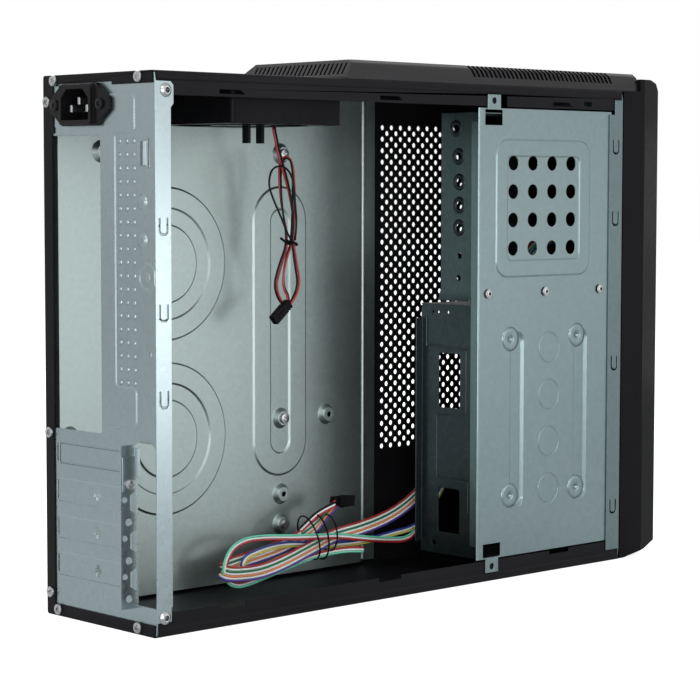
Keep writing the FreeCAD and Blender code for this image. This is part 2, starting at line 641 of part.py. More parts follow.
def make_rear_panel():
    body = new_body("rear_panel")
    thick = zinc.thick
    far = shell_far - fit.panel
    low = steel.thick + fit.panel
    high = shell_top - fit.panel
    extrude(body, "x", panel_face, thick, polygon(
        (0, flange.low), (thick, low), (far, low), (far, high), (thick, high), (0, flange.high),
    ))
    extrude(body, "y", 0, thick, polygon(
        (panel_face, flange.foot_low), (flange.foot_width, flange.foot_low),
        (flange.foot_width, flange.foot_high), (flange.width, flange.foot_high + 1),
        (flange.width, flange.ear_low - 2), (flange.ear_width, flange.ear_low),
        (flange.ear_width, flange.high - 2), (flange.width, flange.high), (panel_face, flange.high),
    ))
    notch_low = slot.first - slot.pitch * 3.5 - 4
    pocket(body, "x", panel_face - 1, thick + 2, polygon(
        (thick, notch_low), (rail.level, notch_low), (rail.level, rail.high + rail.clear),
        (thick * 4.75, rail.high + rail.clear), (thick, rail.high - thick * 2.6),
    ))
    extrude(body, "y", rail.level, thick, rectangle(-rail.reach, rail.low, panel_back, rail.high))
    window_half = slot.field / 2
    windows = []
    for index in (1, 2, 3):
        middle = slot_middle(index)
        windows.append(polygon(
            (-rail.window, middle - window_half + rail.window_slope), (fit.panel, middle - window_half),
            (fit.panel, middle + window_half), (-rail.window, middle + window_half - rail.window_slope),
        ))
        windows.append(circle(rail.hole_x, middle + rail.hole_lift, rail.hole))
        windows.append(circle(rail.dimple_x, middle - slot.pitch / 2, rail.dimple))
    windows.append(circle(-cover.tab_reach / 2, cover.screw_z, screw.shank + fit.screw))
    pocket(body, "y", rail.level - 1, thick + 2, *windows)
    raised = panel_face - ridge.height
    extrude(body, "x", raised, ridge.height, bent(
        ridge.corner, (ridge.near, ridge.high), (ridge.far, ridge.high), (ridge.far, ridge.base),
        (ridge.box_near, ridge.base), (ridge.box_near, ridge.low), (ridge.inner, ridge.low),
        (ridge.inner, ridge.step), (ridge.near, ridge.step),
    ), lean=press.lean)
    pocket(body, "x", raised - 1, ridge.height + 1, inlet_plate(fit.panel))
    fields = [
        rectangle(slot.near, slot_middle(index) - window_half, slot.far, slot_middle(index) + window_half)
        for index in (1, 2, 3)
    ]
    extrude(body, "x", panel_face - slot.emboss, slot.emboss, *fields, lean=press.lean)
    slit_half = slot.field / 2 - 1
    openings = [
        rounded(board.near, board.low, board.far, board.high, board.corner),
        box(
            inlet_middle - inlet.box_width / 2 - fit.panel, inlet.level - inlet.box_height / 2 - fit.panel,
            inlet.box_width + fit.panel * 2, inlet.box_height + fit.panel * 2,
        ),
        rectangle(slot.near, slot_middle(0) - slot.field / 2, slot.far, slot_middle(0) + slot.field / 2),
    ]
    for index in range(4):
        middle = slot_middle(index)
        openings.append(rectangle(
            slot.slit_near, middle - slit_half, slot.slit_near + slot.slit_width, middle + slit_half,
        ))
    openings += [circle(y, z, screw.shank + fit.screw) for y, z in inlet_holes()]
    openings += [circle(y, z, screw.shank + fit.screw) for y, z in REAR_SCREWS]
    arm = slot.plus_arm / 2
    half = slot.plus_width / 2
    for index in (1, 2, 3):
        y = slot.plus_y
        z = slot_middle(index)
        openings.append(polygon(
            (y - half, z - arm), (y + half, z - arm), (y + half, z - half), (y + arm, z - half),
            (y + arm, z + half), (y + half, z + half), (y + half, z + arm), (y - half, z + arm),
            (y - half, z + half), (y - arm, z + half), (y - arm, z - half), (y - half, z - half),
        ))
    openings.append(upright_slot(latch.slit_near, latch.slit_low, latch.slit_far, latch.slit_high))
    openings.append(circle(latch.slit_near + fit.slip, badge.hole_z, badge.hole))
    pocket(body, "x", panel_face - 2, thick + 4, *openings)
    tongues = [u_slit(tongue.middle, low) for low in (tongue.first, tongue.second, tongue.third)]
    tongues += [circle(x, z, screw.shank + fit.screw) for x, z in EAR_RIVETS]
    pocket(body, "y", -1, thick + 2, *tongues)
    crown = latch.radius * 0.25
    flank = latch.radius * 0.7
    flank_face = panel_face - latch.height * 0.75
    crown_face = panel_face - latch.height
    extrude(body, "z", latch.low, latch.high - latch.low, polygon(
        (panel_face, latch.across - latch.radius), (flank_face, latch.across - flank),
        (crown_face, latch.across - crown), (crown_face, latch.across + crown),
        (flank_face, latch.across + flank), (panel_face, latch.across + latch.radius),
    ))
    front = panel_face - badge.height
    turned(body, "x", (badge.across, badge.level), (
        (panel_face, 0), (front, 0), (front, badge.disc - badge.height), (panel_face, badge.disc),
    ))
    turned(body, "x", (badge.across, badge.level), (
        (panel_face, badge.inner), (front, badge.inner + badge.height), (front, badge.outer - badge.height),
        (panel_face, badge.outer),
    ))
    pocket(body, "x", front - 1, badge.height + 1, rectangle(
        -1, badge.level - badge.outer - 1, fit.slip * 2, badge.level + badge.outer + 1,
    ))
    for level in (dome.upper, dome.lower):
        turned(body, "x", (dome.across, level), (
            (panel_face, 0), (panel_face - dome.height, 0), (panel_face - dome.height, dome.radius * 0.45),
            (panel_face - dome.height * 0.45, dome.radius * 0.85), (panel_face, dome.radius),
        ))


def make_slot_cover():
    body = new_body("slot_cover")
    thick = zinc.thick
    tab_near = rail.level - thick
    extrude(body, "x", panel_back, thick, rectangle(tab_near, cover.low, cover.far, cover.high))
    extrude(body, "y", tab_near, thick, polygon(
        (panel_back + thick, cover.low), (panel_back + thick, cover.high), (-cover.neck, cover.high),
        (-cover.neck, cover.tab_high), (-cover.tab_reach, cover.tab_high), (-cover.tab_reach, cover.tab_low),
        (-cover.neck, cover.tab_low), (-cover.neck, cover.low),
    ))
    pocket(body, "y", tab_near - 1, thick + 2, circle(
        -cover.tab_reach / 2, cover.screw_z, screw.shank + fit.screw,
    ))
    inset = cover.inset
    extrude(body, "x", panel_face, thick, rectangle(
        slot.near + inset, slot_middle(0) - slot.field / 2 + inset,
        slot.far - inset, slot_middle(0) + slot.field / 2 - inset,
    ))
    fastener(new_body("slot_cover_screw"), "y", tab_near, (-cover.tab_reach / 2, cover.screw_z))


# Motherboard tray: galvanised plate with round beads and raised seats for the board


BOARD_SEATS = (
    (boss.itx_right + boss.rear_shift, boss.itx_low), (boss.wide_x, boss.itx_low),
    (boss.itx_right + boss.rear_shift, boss.row_low), (boss.itx_right + boss.rear_shift, boss.row_base),
    (boss.itx_right + boss.rear_shift, boss.itx_high), (boss.itx_mid + boss.rear_shift, boss.itx_high),
    (boss.itx_left + boss.rear_shift, boss.itx_low),
)
SCREWED_SEATS = (0, 3, 4)


def make_tray():
    body = new_body("motherboard_tray")
    thick = zinc.thick
    face = tray.level
    back = tray.level + thick
    wall = shell_far
    extrude(body, "z", tray.low, tray.high - tray.low, polygon(
        (tray.rear, wall), (tray.rear, face), (tray.right, face), (tray.foot, wall - thick),
        (tray.front, wall - thick), (tray.front, wall), (tray.foot - 0.4, wall), (tray.right - 0.4, back),
        (tray.rear + thick, back), (tray.rear + thick, wall),
    ))
    raised = face - tray.bead
    hollow = back - tray.bead
    slope = tray.slope
    for level in (tray.ring_upper, tray.ring_lower):
        centre = (tray.ring_x, level)
        turned(body, "y", centre, (
            (face, tray.ring_inner), (raised, tray.ring_inner + slope),
            (raised, tray.ring_outer - slope), (face, tray.ring_outer),
        ))
        turned(body, "y", centre, (
            (back, tray.ring_inner + thick), (hollow, tray.ring_inner + thick + slope),
            (hollow, tray.ring_outer - thick - slope), (back, tray.ring_outer - thick),
        ), cut=True)
        turned(body, "y", centre, (
            (face, 0), (raised, 0), (raised, tray.ring_disc - slope), (face, tray.ring_disc),
        ))
        turned(body, "y", centre, (
            (back, 0), (hollow, 0), (hollow, tray.ring_disc - thick - slope), (back, tray.ring_disc - thick),
        ), cut=True)
    wide = tray.bead_width
    extrude(
        body, "y", raised, tray.bead,
        upright_slot(
            tray.bead_left + slope, tray.bead_low + slope, tray.bead_right - slope, tray.bead_high - slope,
        ),
        lean=press.lean,
    )
    pocket(
        body, "y", raised, tray.bead,
        upright_slot(
            tray.bead_left + wide, tray.bead_low + wide, tray.bead_right - wide, tray.bead_high - wide,
        ),
        lean=-press.lean,
    )
    pocket(
        body, "y", hollow, tray.bead + 1,
        upright_slot(
            tray.bead_left + thick, tray.bead_low + thick, tray.bead_right - thick, tray.bead_high - thick,
        ),
        upright_slot(
            tray.bead_left + wide - thick, tray.bead_low + wide - thick,
            tray.bead_right - wide + thick, tray.bead_high - wide + thick,
        ),
    )
    for centre in BOARD_SEATS:
        turned(body, "y", centre, (
            (face + thick / 2, 0), (face - boss.height, 0), (face - boss.height, boss.top), (face, boss.base),
            (face + thick / 2, boss.base),
        ))
        turned(body, "y", centre, (
            (back, 0), (back - boss.height, 0), (back - boss.height, boss.top - thick / 2),
            (back, boss.base - thick / 2),
        ), cut=True)
    holes = [circle(x, z, boss.hole) for x, z in BOARD_SEATS]
    pocket(body, "y", face - boss.height - 1, boss.height + 3, *holes)
    screws = new_body("tray_screws")
    for index in SCREWED_SEATS:
        fastener(screws, "y", face - boss.height, BOARD_SEATS[index], length=3.2, shank=boss.hole - fit.screw)


# Drive cage: near plate, disk bracket and optical bracket


def cage_rivet_places():
    count = round(cage.rivets.value)
    return [(cage.rivet_first + cage.rivet_pitch * index, cage.rivet_z) for index in range(count)]


def make_cage_plate():
    body = new_body("drive_cage_plate")
    thick = zinc.thick
    face = steel.thick
    back = face + thick
    extrude(body, "y", face, thick, rectangle(cage.left, cage.low, cage.right, cage.high))
    extrude(body, "x", cage.left, thick, rectangle(
        face, cage.low + cage.fold_gap, face + cage.fold, cage.high - cage.fold_gap,
    ))

    def left_fold(a, b):
        return near(a.x, cage.left) and near(b.x, cage.left) and near(a.y, face) and near(b.y, face)

    soften(body, cage.bend, left_fold)
    mid = (cage.tab_left + cage.tab_right) / 2
    upper = rectangle(cage.tab_left, cage.high - cage.bridge, cage.tab_right, cage.tab_high)
    lower = rectangle(cage.tab_left, cage.tab_low, cage.tab_right, cage.low + cage.bridge)
    extrude(body, "y", 0, thick, upper, lower)
    height = cage.bead_height
    raised = face - height
    bead = cage.bead_width
    corner = cage.bead_corner
    inner = rounded(
        cage.bead_left + bead, cage.bead_low + bead, cage.bead_right - bead, cage.bead_high - bead, corner * 0.4,
    )
    slope = height * 1.2
    extrude(body, "y", raised, height, rounded(
        cage.bead_left + slope, cage.bead_low + slope, cage.bead_right - slope, cage.bead_high - slope,
        corner - slope,
    ), lean=press.lean)
    pocket(body, "y", raised, height, inner, lean=-press.lean)
    wall = thick + slope
    pocket(
        body, "y", back - height, height + 1,
        rounded(
            cage.bead_left + wall, cage.bead_low + wall, cage.bead_right - wall, cage.bead_high - wall,
            corner - wall,
        ),
        rounded(
            cage.bead_left + bead - thick, cage.bead_low + bead - thick, cage.bead_right - bead + thick,
            cage.bead_high - bead + thick, corner * 0.4 + thick,
        ),
    )
    half = cage.rib_width / 2
    depth = cage.rib_depth
    ribs = []
    for middle in (cage.rib_first, cage.rib_second):
        ribs.append(upright_slot(middle - half, cage.rib_low, middle + half, cage.rib_high))
    extrude(body, "y", back - TINY, depth, *ribs, lean=-press.shallow)
    hollows = [
        upright_slot(
            middle - half + fit.slip, cage.rib_low + fit.slip, middle + half - fit.slip,
            cage.rib_high - fit.slip,
        )
        for middle in (cage.rib_first, cage.rib_second)
    ]
    pocket(body, "y", face, depth, *hollows, lean=-press.lean)
    cuts = [
        rectangle(cage.notch_left, cage.high - cage.notch_height, cage.notch_right, cage.high - cage.bridge),
        rectangle(cage.notch_left, cage.low + cage.bridge, cage.notch_right, cage.notch_high),
        circle(mid, cage.tab_high - cage.tab_hole_down, cage.tab_hole),
        circle(mid, cage.tab_low + cage.tab_hole_down, cage.tab_hole),
    ]
    cuts += [circle(x, z, screw.shank + fit.screw) for x, z in cage_rivet_places()]
    pocket(body, "y", -1, thick * 2 + 4, *cuts)
    hole = pocket(body, "y", face - 1, thick + 4, circle(cage.hole_left, cage.hole_low, cage.hole))
    repeat(body, hole, "x", cage.hole_pitch_x, cage.holes, "z", cage.hole_pitch_z, cage.holes)
    ring = pocket(
        body, "y", face - 1, 1 + cage.stamp_depth,
        circle(cage.stamp_x, cage.stamp_low, cage.stamp),
        circle(cage.stamp_x, cage.stamp_low, cage.stamp - cage.stamp_line),
    )
    repeat(body, ring, "z", cage.stamp_pitch, cage.stamps)
    rivets = new_body("cage_rivets")
    for centre in cage_rivet_places():
        fastener(rivets, "y", face, centre, head=screw.rivet_head, length=cage.rivet_length)


# Holes of the disk bracket: how far from the row's middle line, how high, and their radius
DISK_HOLES = (
    (3.0, 269.8, disk.big_hole), (0.8, 253.2, disk.mid_hole), (0.0, 238.0, disk.big_hole),
    (0.0, 224.3, disk.big_hole), (0.0, 211.0, disk.big_hole), (-0.5, 194.3, disk.hole), (0.3, 181.0, disk.hole),
)


def make_disk_bracket():
    body = new_body("disk_bracket")
    thick = zinc.thick
    near_edge = steel.thick + zinc.thick
    wall = disk.wall
    lip_near = steel.thick + cage.fold + fit.slip
    shelf_right = cage.right - disk.short
    extrude(body, "y", near_edge, disk.depth - near_edge, rectangle(wall, disk.low, wall + thick, disk.high))
    extrude(body, "y", near_edge, disk.depth - near_edge, rectangle(
        wall, disk.low, shelf_right, disk.low + thick,
    ))
    extrude(body, "y", lip_near, disk.depth - lip_near, polygon(
        (wall, disk.low), (wall - disk.lip_out, disk.lip_low), (wall - disk.lip_out + thick, disk.lip_low),
        (wall + thick, disk.low), (wall + thick, disk.low + thick), (wall, disk.low + thick),
    ))
    extrude(body, "y", near_edge, thick, rectangle(wall, disk.lip_low, shelf_right, disk.low + thick))
    extrude(body, "y", near_edge, disk.depth - near_edge, rectangle(
        wall, disk.high - thick, shelf_right, disk.high,
    ))
    holes = [circle(disk.row_y + across, level, radius) for across, level, radius in DISK_HOLES]
    pocket(body, "x", wall - 1, thick + 2, *holes)
    rivets = [circle(x, z, screw.shank + fit.screw) for x, z in cage_rivet_places()]
    pocket(body, "y", near_edge - 1, thick + 2, *rivets)


# The corners of the pressed line in the bracket's wall, and the side on which its other edge lies
GROOVE = (
    (44.5, 157.0, 0), (44.5, 140.5, -1), (11.3, 139.0, -1), (11.3, 99.0, 1),
    (35.6, 97.0, 1), (35.6, 61.0, -1), (9.5, 60.0, -1), (9.5, 41.0, 0),
)


def make_optical_bracket():
    body = new_body("optical_bracket")
    thick = zinc.thick
    wall = optical.wall
    bend = optical.corner
    near_edge = steel.thick + zinc.thick
    extrude(body, "x", wall, thick, polygon(
        (near_edge, optical.low), (optical.far, optical.low), (optical.far, optical.high - bend),
        (optical.far - bend, optical.high), (near_edge, optical.high),
    ))
    extrude(body, "y", optical.far - thick, thick, rectangle(
        wall - optical.flange, optical.flange_low, wall + thick, optical.flange_high,
    ))
    for level in (optical.low, optical.high - thick):
        extrude(body, "z", level, thick, rectangle(wall, near_edge, wall + optical.shelf, optical.far))
    row = [circle(optical.hole_y + across, optical.row_z, optical.small_hole) for across in (-11.2, -2.9, 1.3)]
    corner = optical.window_corner
    windows = [
        rounded(optical.window_near, optical.window_low, optical.window_far, optical.window_high, corner),
        rounded(optical.window_near, optical.second_low, optical.window_far, optical.second_high, corner),
        circle(optical.hole_y, optical.hole_z, optical.hole),
    ]
    pocket(body, "x", wall - 1, thick + 2, *windows, *row)
    wide = optical.groove
    line = [(y, z) for y, z, side in GROOVE]
    back_line = [(y + wide, z + wide * side) for y, z, side in GROOVE]
    pocket(body, "x", wall - 1, optical.groove_depth + 1, polygon(*line, *reversed(back_line)))


# Front frame: galvanised sheet behind the bezel


def make_front_frame():
    body = new_body("front_frame")
    thick = zinc.thick
    rear = frame.front - thick
    far = shell_far - fit.panel
    low = steel.thick + fit.panel
    high = shell_top - fit.panel
    extrude(body, "x", rear, thick, polygon(
        (0, frame.strip_low), (thick, low), (far, low), (far, high), (thick, high), (0, frame.strip_high),
    ))
    extrude(body, "y", 0, thick, polygon(
        (frame.strip_left, frame.strip_low), (frame.front, frame.strip_low), (frame.front, frame.strip_high),
        (frame.step_left, frame.strip_high), (frame.step_left, frame.shoulder), (frame.strip_left, frame.shoulder),
    ))
    bar = frame.bar
    rail_high = frame.rail_low + frame.rail_width
    post_far = frame.post + frame.post_width
    openings = [
        rectangle(bar / 2, low + bar, frame.post, frame.rail_low),
        rectangle(post_far, low + bar, far - bar, frame.rail_low),
        rectangle(bar / 2, rail_high, far - bar, high - bar),
    ]
    pocket(body, "x", rear - 1, thick + 2, *openings)
    levels = (hatch.first, hatch.second, hatch.third, hatch.fourth)
    pocket(body, "y", -1, thick + 2, *[u_slit(hatch.middle, level) for level in levels])


# Bezel: rear moulding, glossy front face, drive cover, buttons and front sockets


def make_front_bezel():
    body = new_body("front_bezel")
    wall = bezel.wall
    rear = case.depth
    outer = polygon(
        (rear, bezel.low), (bezel.toe, bezel.low), (bezel.split, bezel.seam_low),
        (bezel.split, bezel.high), (bezel.step, bezel.high), (bezel.step, case.height), (rear, case.height),
    )
    extrude(body, "y", 0, case.width, outer)
    inner = polygon(
        (rear + wall, bezel.low + wall), (bezel.toe, bezel.low + wall),
        (bezel.split + 1, bezel.seam_low + wall), (bezel.split + 1, case.height - wall),
        (rear + wall, case.height - wall),
    )
    pocket(body, "y", wall, case.width - wall * 2, inner)
    openings = [
        rectangle(bezel.bay_near, bezel.bay_low, bezel.bay_far, bezel.bay_high),
        rectangle(
            frame.post + frame.post_width, bezel.window_low, case.width - bezel.side, bezel.window_high,
        ),
        rectangle(bezel.upper_near, bezel.upper_low, case.width - bezel.side, bezel.upper_high),
    ]
    pocket(body, "x", rear - 1, wall + 2, *openings)
    arm_far = shell_far - fit.panel - frame.bar - fit.panel
    for level in (clip.low, clip.high):
        extrude(body, "x", rear - clip.reach, clip.reach + TINY, box(
            arm_far - clip.thick, level, clip.thick, clip.width,
        ))


def make_front_face():
    body = new_body("front_face")
    wall = bezel.wall
    rear = bezel.split
    front = bezel.front
    outer = polygon(
        (rear, bezel.seam_low), (bezel.chin_front, bezel.chin_low), (front, bezel.chin),
        (front, bezel.high - bezel.brow), (front - bezel.brow_cut, bezel.high - bezel.brow_cut),
        (front - bezel.brow, bezel.high), (rear, bezel.high),
    )
    extrude(body, "y", 0, case.width, outer)

    def side_edge(a, b):
        level = near(a.y, 0) and near(b.y, 0) or near(a.y, case.width) and near(b.y, case.width)
        return level and a.x > number(bezel.split) + 1 and b.x > number(bezel.split) + 1

    soften(body, bezel.wall / 2, side_edge)
    inner = polygon(
        (rear - 1, bezel.chin_low + wall), (front - wall, bezel.chin + wall),
        (front - wall, bezel.high - bezel.brow), (front - bezel.brow, bezel.high - wall),
        (rear - 1, bezel.high - wall),
    )
    pocket(body, "y", wall, case.width - wall * 2, inner)
    post_y = (panel.near + panel.inset, panel.far - panel.inset)
    post_z = (panel.low + panel.inset, panel.high - panel.inset)
    posts = [circle(y, z, panel.post) for y in post_y for z in post_z]
    post_start = panel.rear + panel.thick
    extrude(body, "x", post_start, front - wall - post_start + TINY, *posts)
    middle = button.middle
    openings = [
        rectangle(bezel.bay_near, bezel.bay_low, bezel.bay_far, bezel.bay_high),
        circle(middle, button.power_z, button.power + fit.slip),
        circle(middle, button.reset_z, button.reset + fit.slip),
        circle(middle, panel.lens_z, panel.lens + fit.screw),
    ]
    for index in range(2):
        level = usb.low + usb.pitch * index
        openings.append(box(middle - usb.width / 2, level, usb.width, usb.height))
        openings.append(circle(middle, audio.low + audio.pitch * index + audio.body / 2, audio.nose + fit.panel))
    pocket(body, "x", front - wall - 1, wall + 2, *openings)
    drive = new_body("drive_cover")
    gap = fit.panel
    lap = (bezel.wall - fit.slip) * 0.66
    extrude(drive, "x", front - wall, wall - gap * 3, rectangle(
        bezel.bay_near + gap, bezel.bay_low + gap, bezel.bay_far - gap, bezel.bay_high - gap,
    ))
    extrude(drive, "x", front - wall - lap, lap, rectangle(
        bezel.bay_near - lap, bezel.bay_low - lap, bezel.bay_far + lap, bezel.bay_high + lap,
    ))


def make_button(name, level, radius):
    body = new_body(name)
    seat = bezel.front - bezel.wall - fit.slip
    tip = bezel.front + button.proud
    rear_stop = panel.rear + panel.thick + panel.switch_depth + fit.slip + travel.button
    turned(body, "x", (button.middle, level), (
        (rear_stop, 0), (tip, 0), (tip, radius - button.edge), (tip - button.edge, radius), (seat, radius),
        (seat, radius + button.collar), (seat - button.collar, radius + button.collar),
        (seat - button.collar, button.stem), (rear_stop, button.stem),
    ))


def make_front_panel():
    board_body = new_body("front_io_board")
    extrude(board_body, "x", panel.rear, panel.thick, rectangle(panel.near, panel.low, panel.far, panel.high))
    front = panel.rear + panel.thick
    half = panel.switch / 2
    switches = new_body("button_switches")
    for level in (button.power_z, button.reset_z):
        block = panel.switch_depth - panel.plunger_depth
        extrude(switches, "x", front, block, box(
            button.middle - half, level - half, panel.switch, panel.switch,
        ))
        extrude(switches, "x", front + block, panel.plunger_depth, circle(button.middle, level, panel.plunger))
    sockets = new_body("usb_sockets")
    for index in range(2):
        level = usb.low + usb.pitch * index
        left = button.middle - usb.width / 2
        extrude(sockets, "x", front, usb.depth, box(left, level, usb.width, usb.height))
        wall = usb.wall
        pocket(sockets, "x", front + usb.floor, usb.depth, box(
            left + wall, level + wall, usb.width - wall * 2, usb.height - wall * 2,
        ))
        extrude(sockets, "x", front + usb.floor - TINY, usb.depth - usb.floor * 2, box(
            left + wall, level + wall * 2.5, usb.tongue, usb.height - wall * 5,
        ))
    jacks = new_body("audio_sockets")
    for index in range(2):
        level = audio.low + audio.pitch * index
        middle = level + audio.body / 2
        body_depth = bezel.front - bezel.wall - fit.panel - front
        extrude(jacks, "x", front, body_depth, box(
            button.middle - audio.body / 2, level, audio.body, audio.body,
        ))
        extrude(jacks, "x", front + body_depth - TINY, bezel.wall, circle(button.middle, middle, audio.nose))
        pocket(jacks, "x", front + audio.floor, body_depth + bezel.wall, circle(button.middle, middle, audio.bore))
    lens = new_body("led_lens")
    wall_rear = bezel.front - bezel.wall
    tip = bezel.front + panel.lens_proud
    rim = panel.lens + panel.lens_rim
    turned(lens, "x", (button.middle, panel.lens_z), (
        (front, 0), (tip, 0), (tip, panel.lens * 0.7), (bezel.front, panel.lens),
        (wall_rear - fit.screw, panel.lens), (wall_rear - fit.screw, rim), (front, rim),
    ))


# Top cover: black moulding with a ribbed ramp and a row of slanted louvres


def make_top_cover():
    body = new_body("top_cover")
    base = case.height
    high = base + roof.height
    step = roof.bevel
    extrude(body, "x", roof.rear, roof.front - roof.rear, polygon(
        (roof.near, base), (roof.far, base), (roof.far, base + roof.skirt), (roof.far - step, high),
        (roof.near + step * 0.5, high), (roof.near + step * 0.14, high - roof.rib_low),
        (roof.near, base + roof.skirt),
    ))
    pocket(body, "y", roof.near - 1, case.width, polygon(
        (roof.rear - 1, base + roof.lip), (roof.rear, base + roof.lip), (roof.rear + roof.ramp, high),
        (roof.rear + roof.ramp, high + 1), (roof.rear - 1, high + 1),
    ))
    wall = roof.wall
    pocket(body, "x", roof.rear + roof.ramp + wall, roof.front - roof.rear - roof.ramp - wall * 2, polygon(
        (roof.near + wall, base - 1), (roof.far - wall, base - 1), (roof.far - wall, base + 2),
        (roof.far - step - wall * 0.4, high - wall), (roof.near + step * 0.5 + wall * 0.8, high - wall),
        (roof.near + wall, base + roof.skirt),
    ))
    left = roof.louvre_left
    lean = roof.louvre_lean
    louvre_low = base + roof.louvre_low
    louvre = pocket(body, "y", roof.near - 1, step, polygon(
        (left + lean, louvre_low), (left + lean + roof.louvre_width, louvre_low),
        (left + roof.louvre_width, high + 1), (left, high + 1),
    ))
    repeat(body, louvre, "x", roof.louvre_pitch, roof.louvres)
    rib_low = roof.near + step * 0.5
    groove = pocket(body, "x", roof.rear - 1, roof.ramp + 1, polygon(
        (rib_low, base + roof.rib_low), (rib_low + roof.rib_width, base + roof.rib_low),
        (rib_low + roof.rib_width, high - roof.rib_high), (rib_low, high - roof.rib_high),
    ))
    repeat(body, groove, "y", roof.rib_pitch, roof.ribs)


# Fan under the top wall


def make_fan():
    body = new_body("fan_frame")
    middle_x = fan.rear + fan.side / 2
    middle_y = fan.near + fan.side / 2
    high = shell_top
    low = shell_top - fan.depth
    extrude(body, "z", low, fan.depth, rounded(
        fan.rear, fan.near, fan.rear + fan.side, fan.near + fan.side, fan.corner,
    ))
    pocket(body, "z", low - 1, fan.depth + 2, circle(middle_x, middle_y, fan.duct))
    strut = fan.strut
    reach = fan.duct + 0.5
    extrude(
        body, "z", low, fan.strut_depth,
        rectangle(middle_x - reach, middle_y - strut / 2, middle_x + reach, middle_y + strut / 2),
    )
    extrude(
        body, "z", low, fan.strut_depth,
        rectangle(middle_x - strut / 2, middle_y - reach, middle_x + strut / 2, middle_y + reach),
    )
    extrude(body, "z", low, fan.strut_depth, circle(middle_x, middle_y, fan.hub))
    motor_top = low + fan.strut_depth + fan.hub_depth - fan.wall * 2 - 2
    turned(body, "z", (middle_x, middle_y), (
        (low + 1, fan.shaft + fan.running), (motor_top, fan.shaft + fan.running),
        (motor_top, fan.motor - fan.wall - 1.5), (low + 1, fan.motor - fan.wall - 1.5),
    ))
    pocket(body, "z", low + 0.8, fan.depth, circle(middle_x, middle_y, fan.shaft + fan.running))
    pocket(body, "z", low - 1, fan.depth + 2, *[circle(x, y, fan.hole) for x, y in fan_holes()])
    legs = [box(fan.leg_x + gap, fan.leg_y, fan.leg_thick, fan.leg_width) for gap in (0, fan.leg_gap)]
    extrude(body, "z", low - fan.leg, fan.leg, *legs)
    screws = new_body("fan_screws")
    for centre in fan_holes():
        fastener(
            screws, "z", high, centre, side=1, head=fan.screw_head, height=steel.thick,
            shank=fan.hole - fit.screw, length=fan.screw_length,
        )
    rotor = new_body("fan_rotor")
    hub_low = low + fan.strut_depth + 0.8
    hub_high = hub_low + fan.hub_depth
    turned(rotor, "z", (middle_x, middle_y), (
        (low + 1.4, 0), (hub_high, 0), (hub_high, fan.hub - 1.5), (hub_high - 1.5, fan.hub), (hub_low, fan.hub),
        (hub_low, fan.hub - fan.wall), (hub_high - fan.wall, fan.hub - fan.wall),
        (hub_high - fan.wall, fan.shaft), (low + 1.4, fan.shaft),
    ))
    chord = fan.blade_chord
    thick = fan.blade_thick
    blade_low = hub_low + 1
    blade_high = hub_high - 1
    rise = blade_high - blade_low
    sketch = new_sketch(rotor, "YZ_Plane", x=middle_y, z=middle_x + fan.hub - 0.6)
    polygon(
        (-chord / 2, blade_low), (-chord / 2 + thick * 1.6, blade_low), (thick * 0.2, blade_low + rise * 0.62),
        (chord / 2, blade_high - thick), (chord / 2, blade_high), (-thick * 0.9, blade_low + rise * 0.72),
    )(sketch)
    blade = rotor.newObject("PartDesign::Pad", "blade")
    blade.Profile = sketch
    bind(blade, "Length", fan.blade - fan.hub + 0.6)
    doc.recompute()
    turned(rotor, "z", (middle_x, middle_y), (
        (blade_low - 1, fan.blade), (blade_high + 1, fan.blade), (blade_high + 1, fan.duct + 4),
        (blade_low - 1, fan.duct + 4),
    ), cut=True)
    pattern = rotor.newObject("PartDesign::PolarPattern", "blades")
    axis_sketch = new_sketch(rotor, "XY_Plane", x=middle_x, y=middle_y)
    pattern.Originals = [blade]
    pattern.Axis = (axis_sketch, ["N_Axis"])
    pattern.Angle = 360
    bind(pattern, "Occurrences", fan.blades)
    rotor.Tip = pattern
    doc.recompute()


# Power inlet


def make_inlet():
    body = new_body("ac_inlet")
    rim = inlet.collar_rim
    plate_front = -inlet.plate + steel.thick
    extrude(body, "x", plate_front, inlet.plate, inlet_plate(0))
    collar_half = inlet.box_width / 2 + rim
    extrude(body, "x", plate_front - inlet.collar, inlet.collar, rounded(
        inlet_middle - collar_half, inlet.level - inlet.height / 2 + rim,
        inlet_middle + collar_half, inlet.level + inlet.height / 2 - rim, rim * 3,
    ))
    extrude(body, "x", panel_face, inlet.box_depth, box(
        inlet_middle - inlet.box_width / 2, inlet.level - inlet.box_height / 2, inlet.box_width, inlet.box_height,
    ))
    mouth_half = inlet.mouth_width / 2
    mouth_low = inlet.level - inlet.mouth_height / 2
    mouth_high = inlet.level + inlet.mouth_height / 2
    cut = inlet.mouth_chamfer
    pocket(body, "x", plate_front - inlet.collar - 1, inlet.mouth_depth + 1, polygon(
        (inlet_middle - mouth_half, mouth_low), (inlet_middle + mouth_half, mouth_low),
        (inlet_middle + mouth_half, mouth_high - cut), (inlet_middle + mouth_half - cut, mouth_high),
        (inlet_middle - mouth_half + cut, mouth_high), (inlet_middle - mouth_half, mouth_high - cut),
    ))
    holes = [circle(y, z, screw.shank + fit.screw) for y, z in inlet_holes()]
    pocket(body, "x", plate_front - 1, inlet.plate + 1, *holes)
    pins = new_body("inlet_pins")
    floor = plate_front - inlet.collar + inlet.mouth_depth
    spread = inlet.pin_span
    rise = inlet.pin_lift
    for offset, lift in ((-spread, -rise), (0, rise), (spread, -rise)):
        extrude(pins, "x", floor - inlet.pin_length, inlet.pin_length, box(
            inlet_middle + offset - inlet.pin_thick / 2, inlet.level + lift - inlet.pin_width / 2,
            inlet.pin_thick, inlet.pin_width,
        ))
    screws = new_body("inlet_screws")
    for centre in inlet_holes():
        fastener(screws, "x", plate_front, centre, length=inlet.plate + zinc.thick + 3)


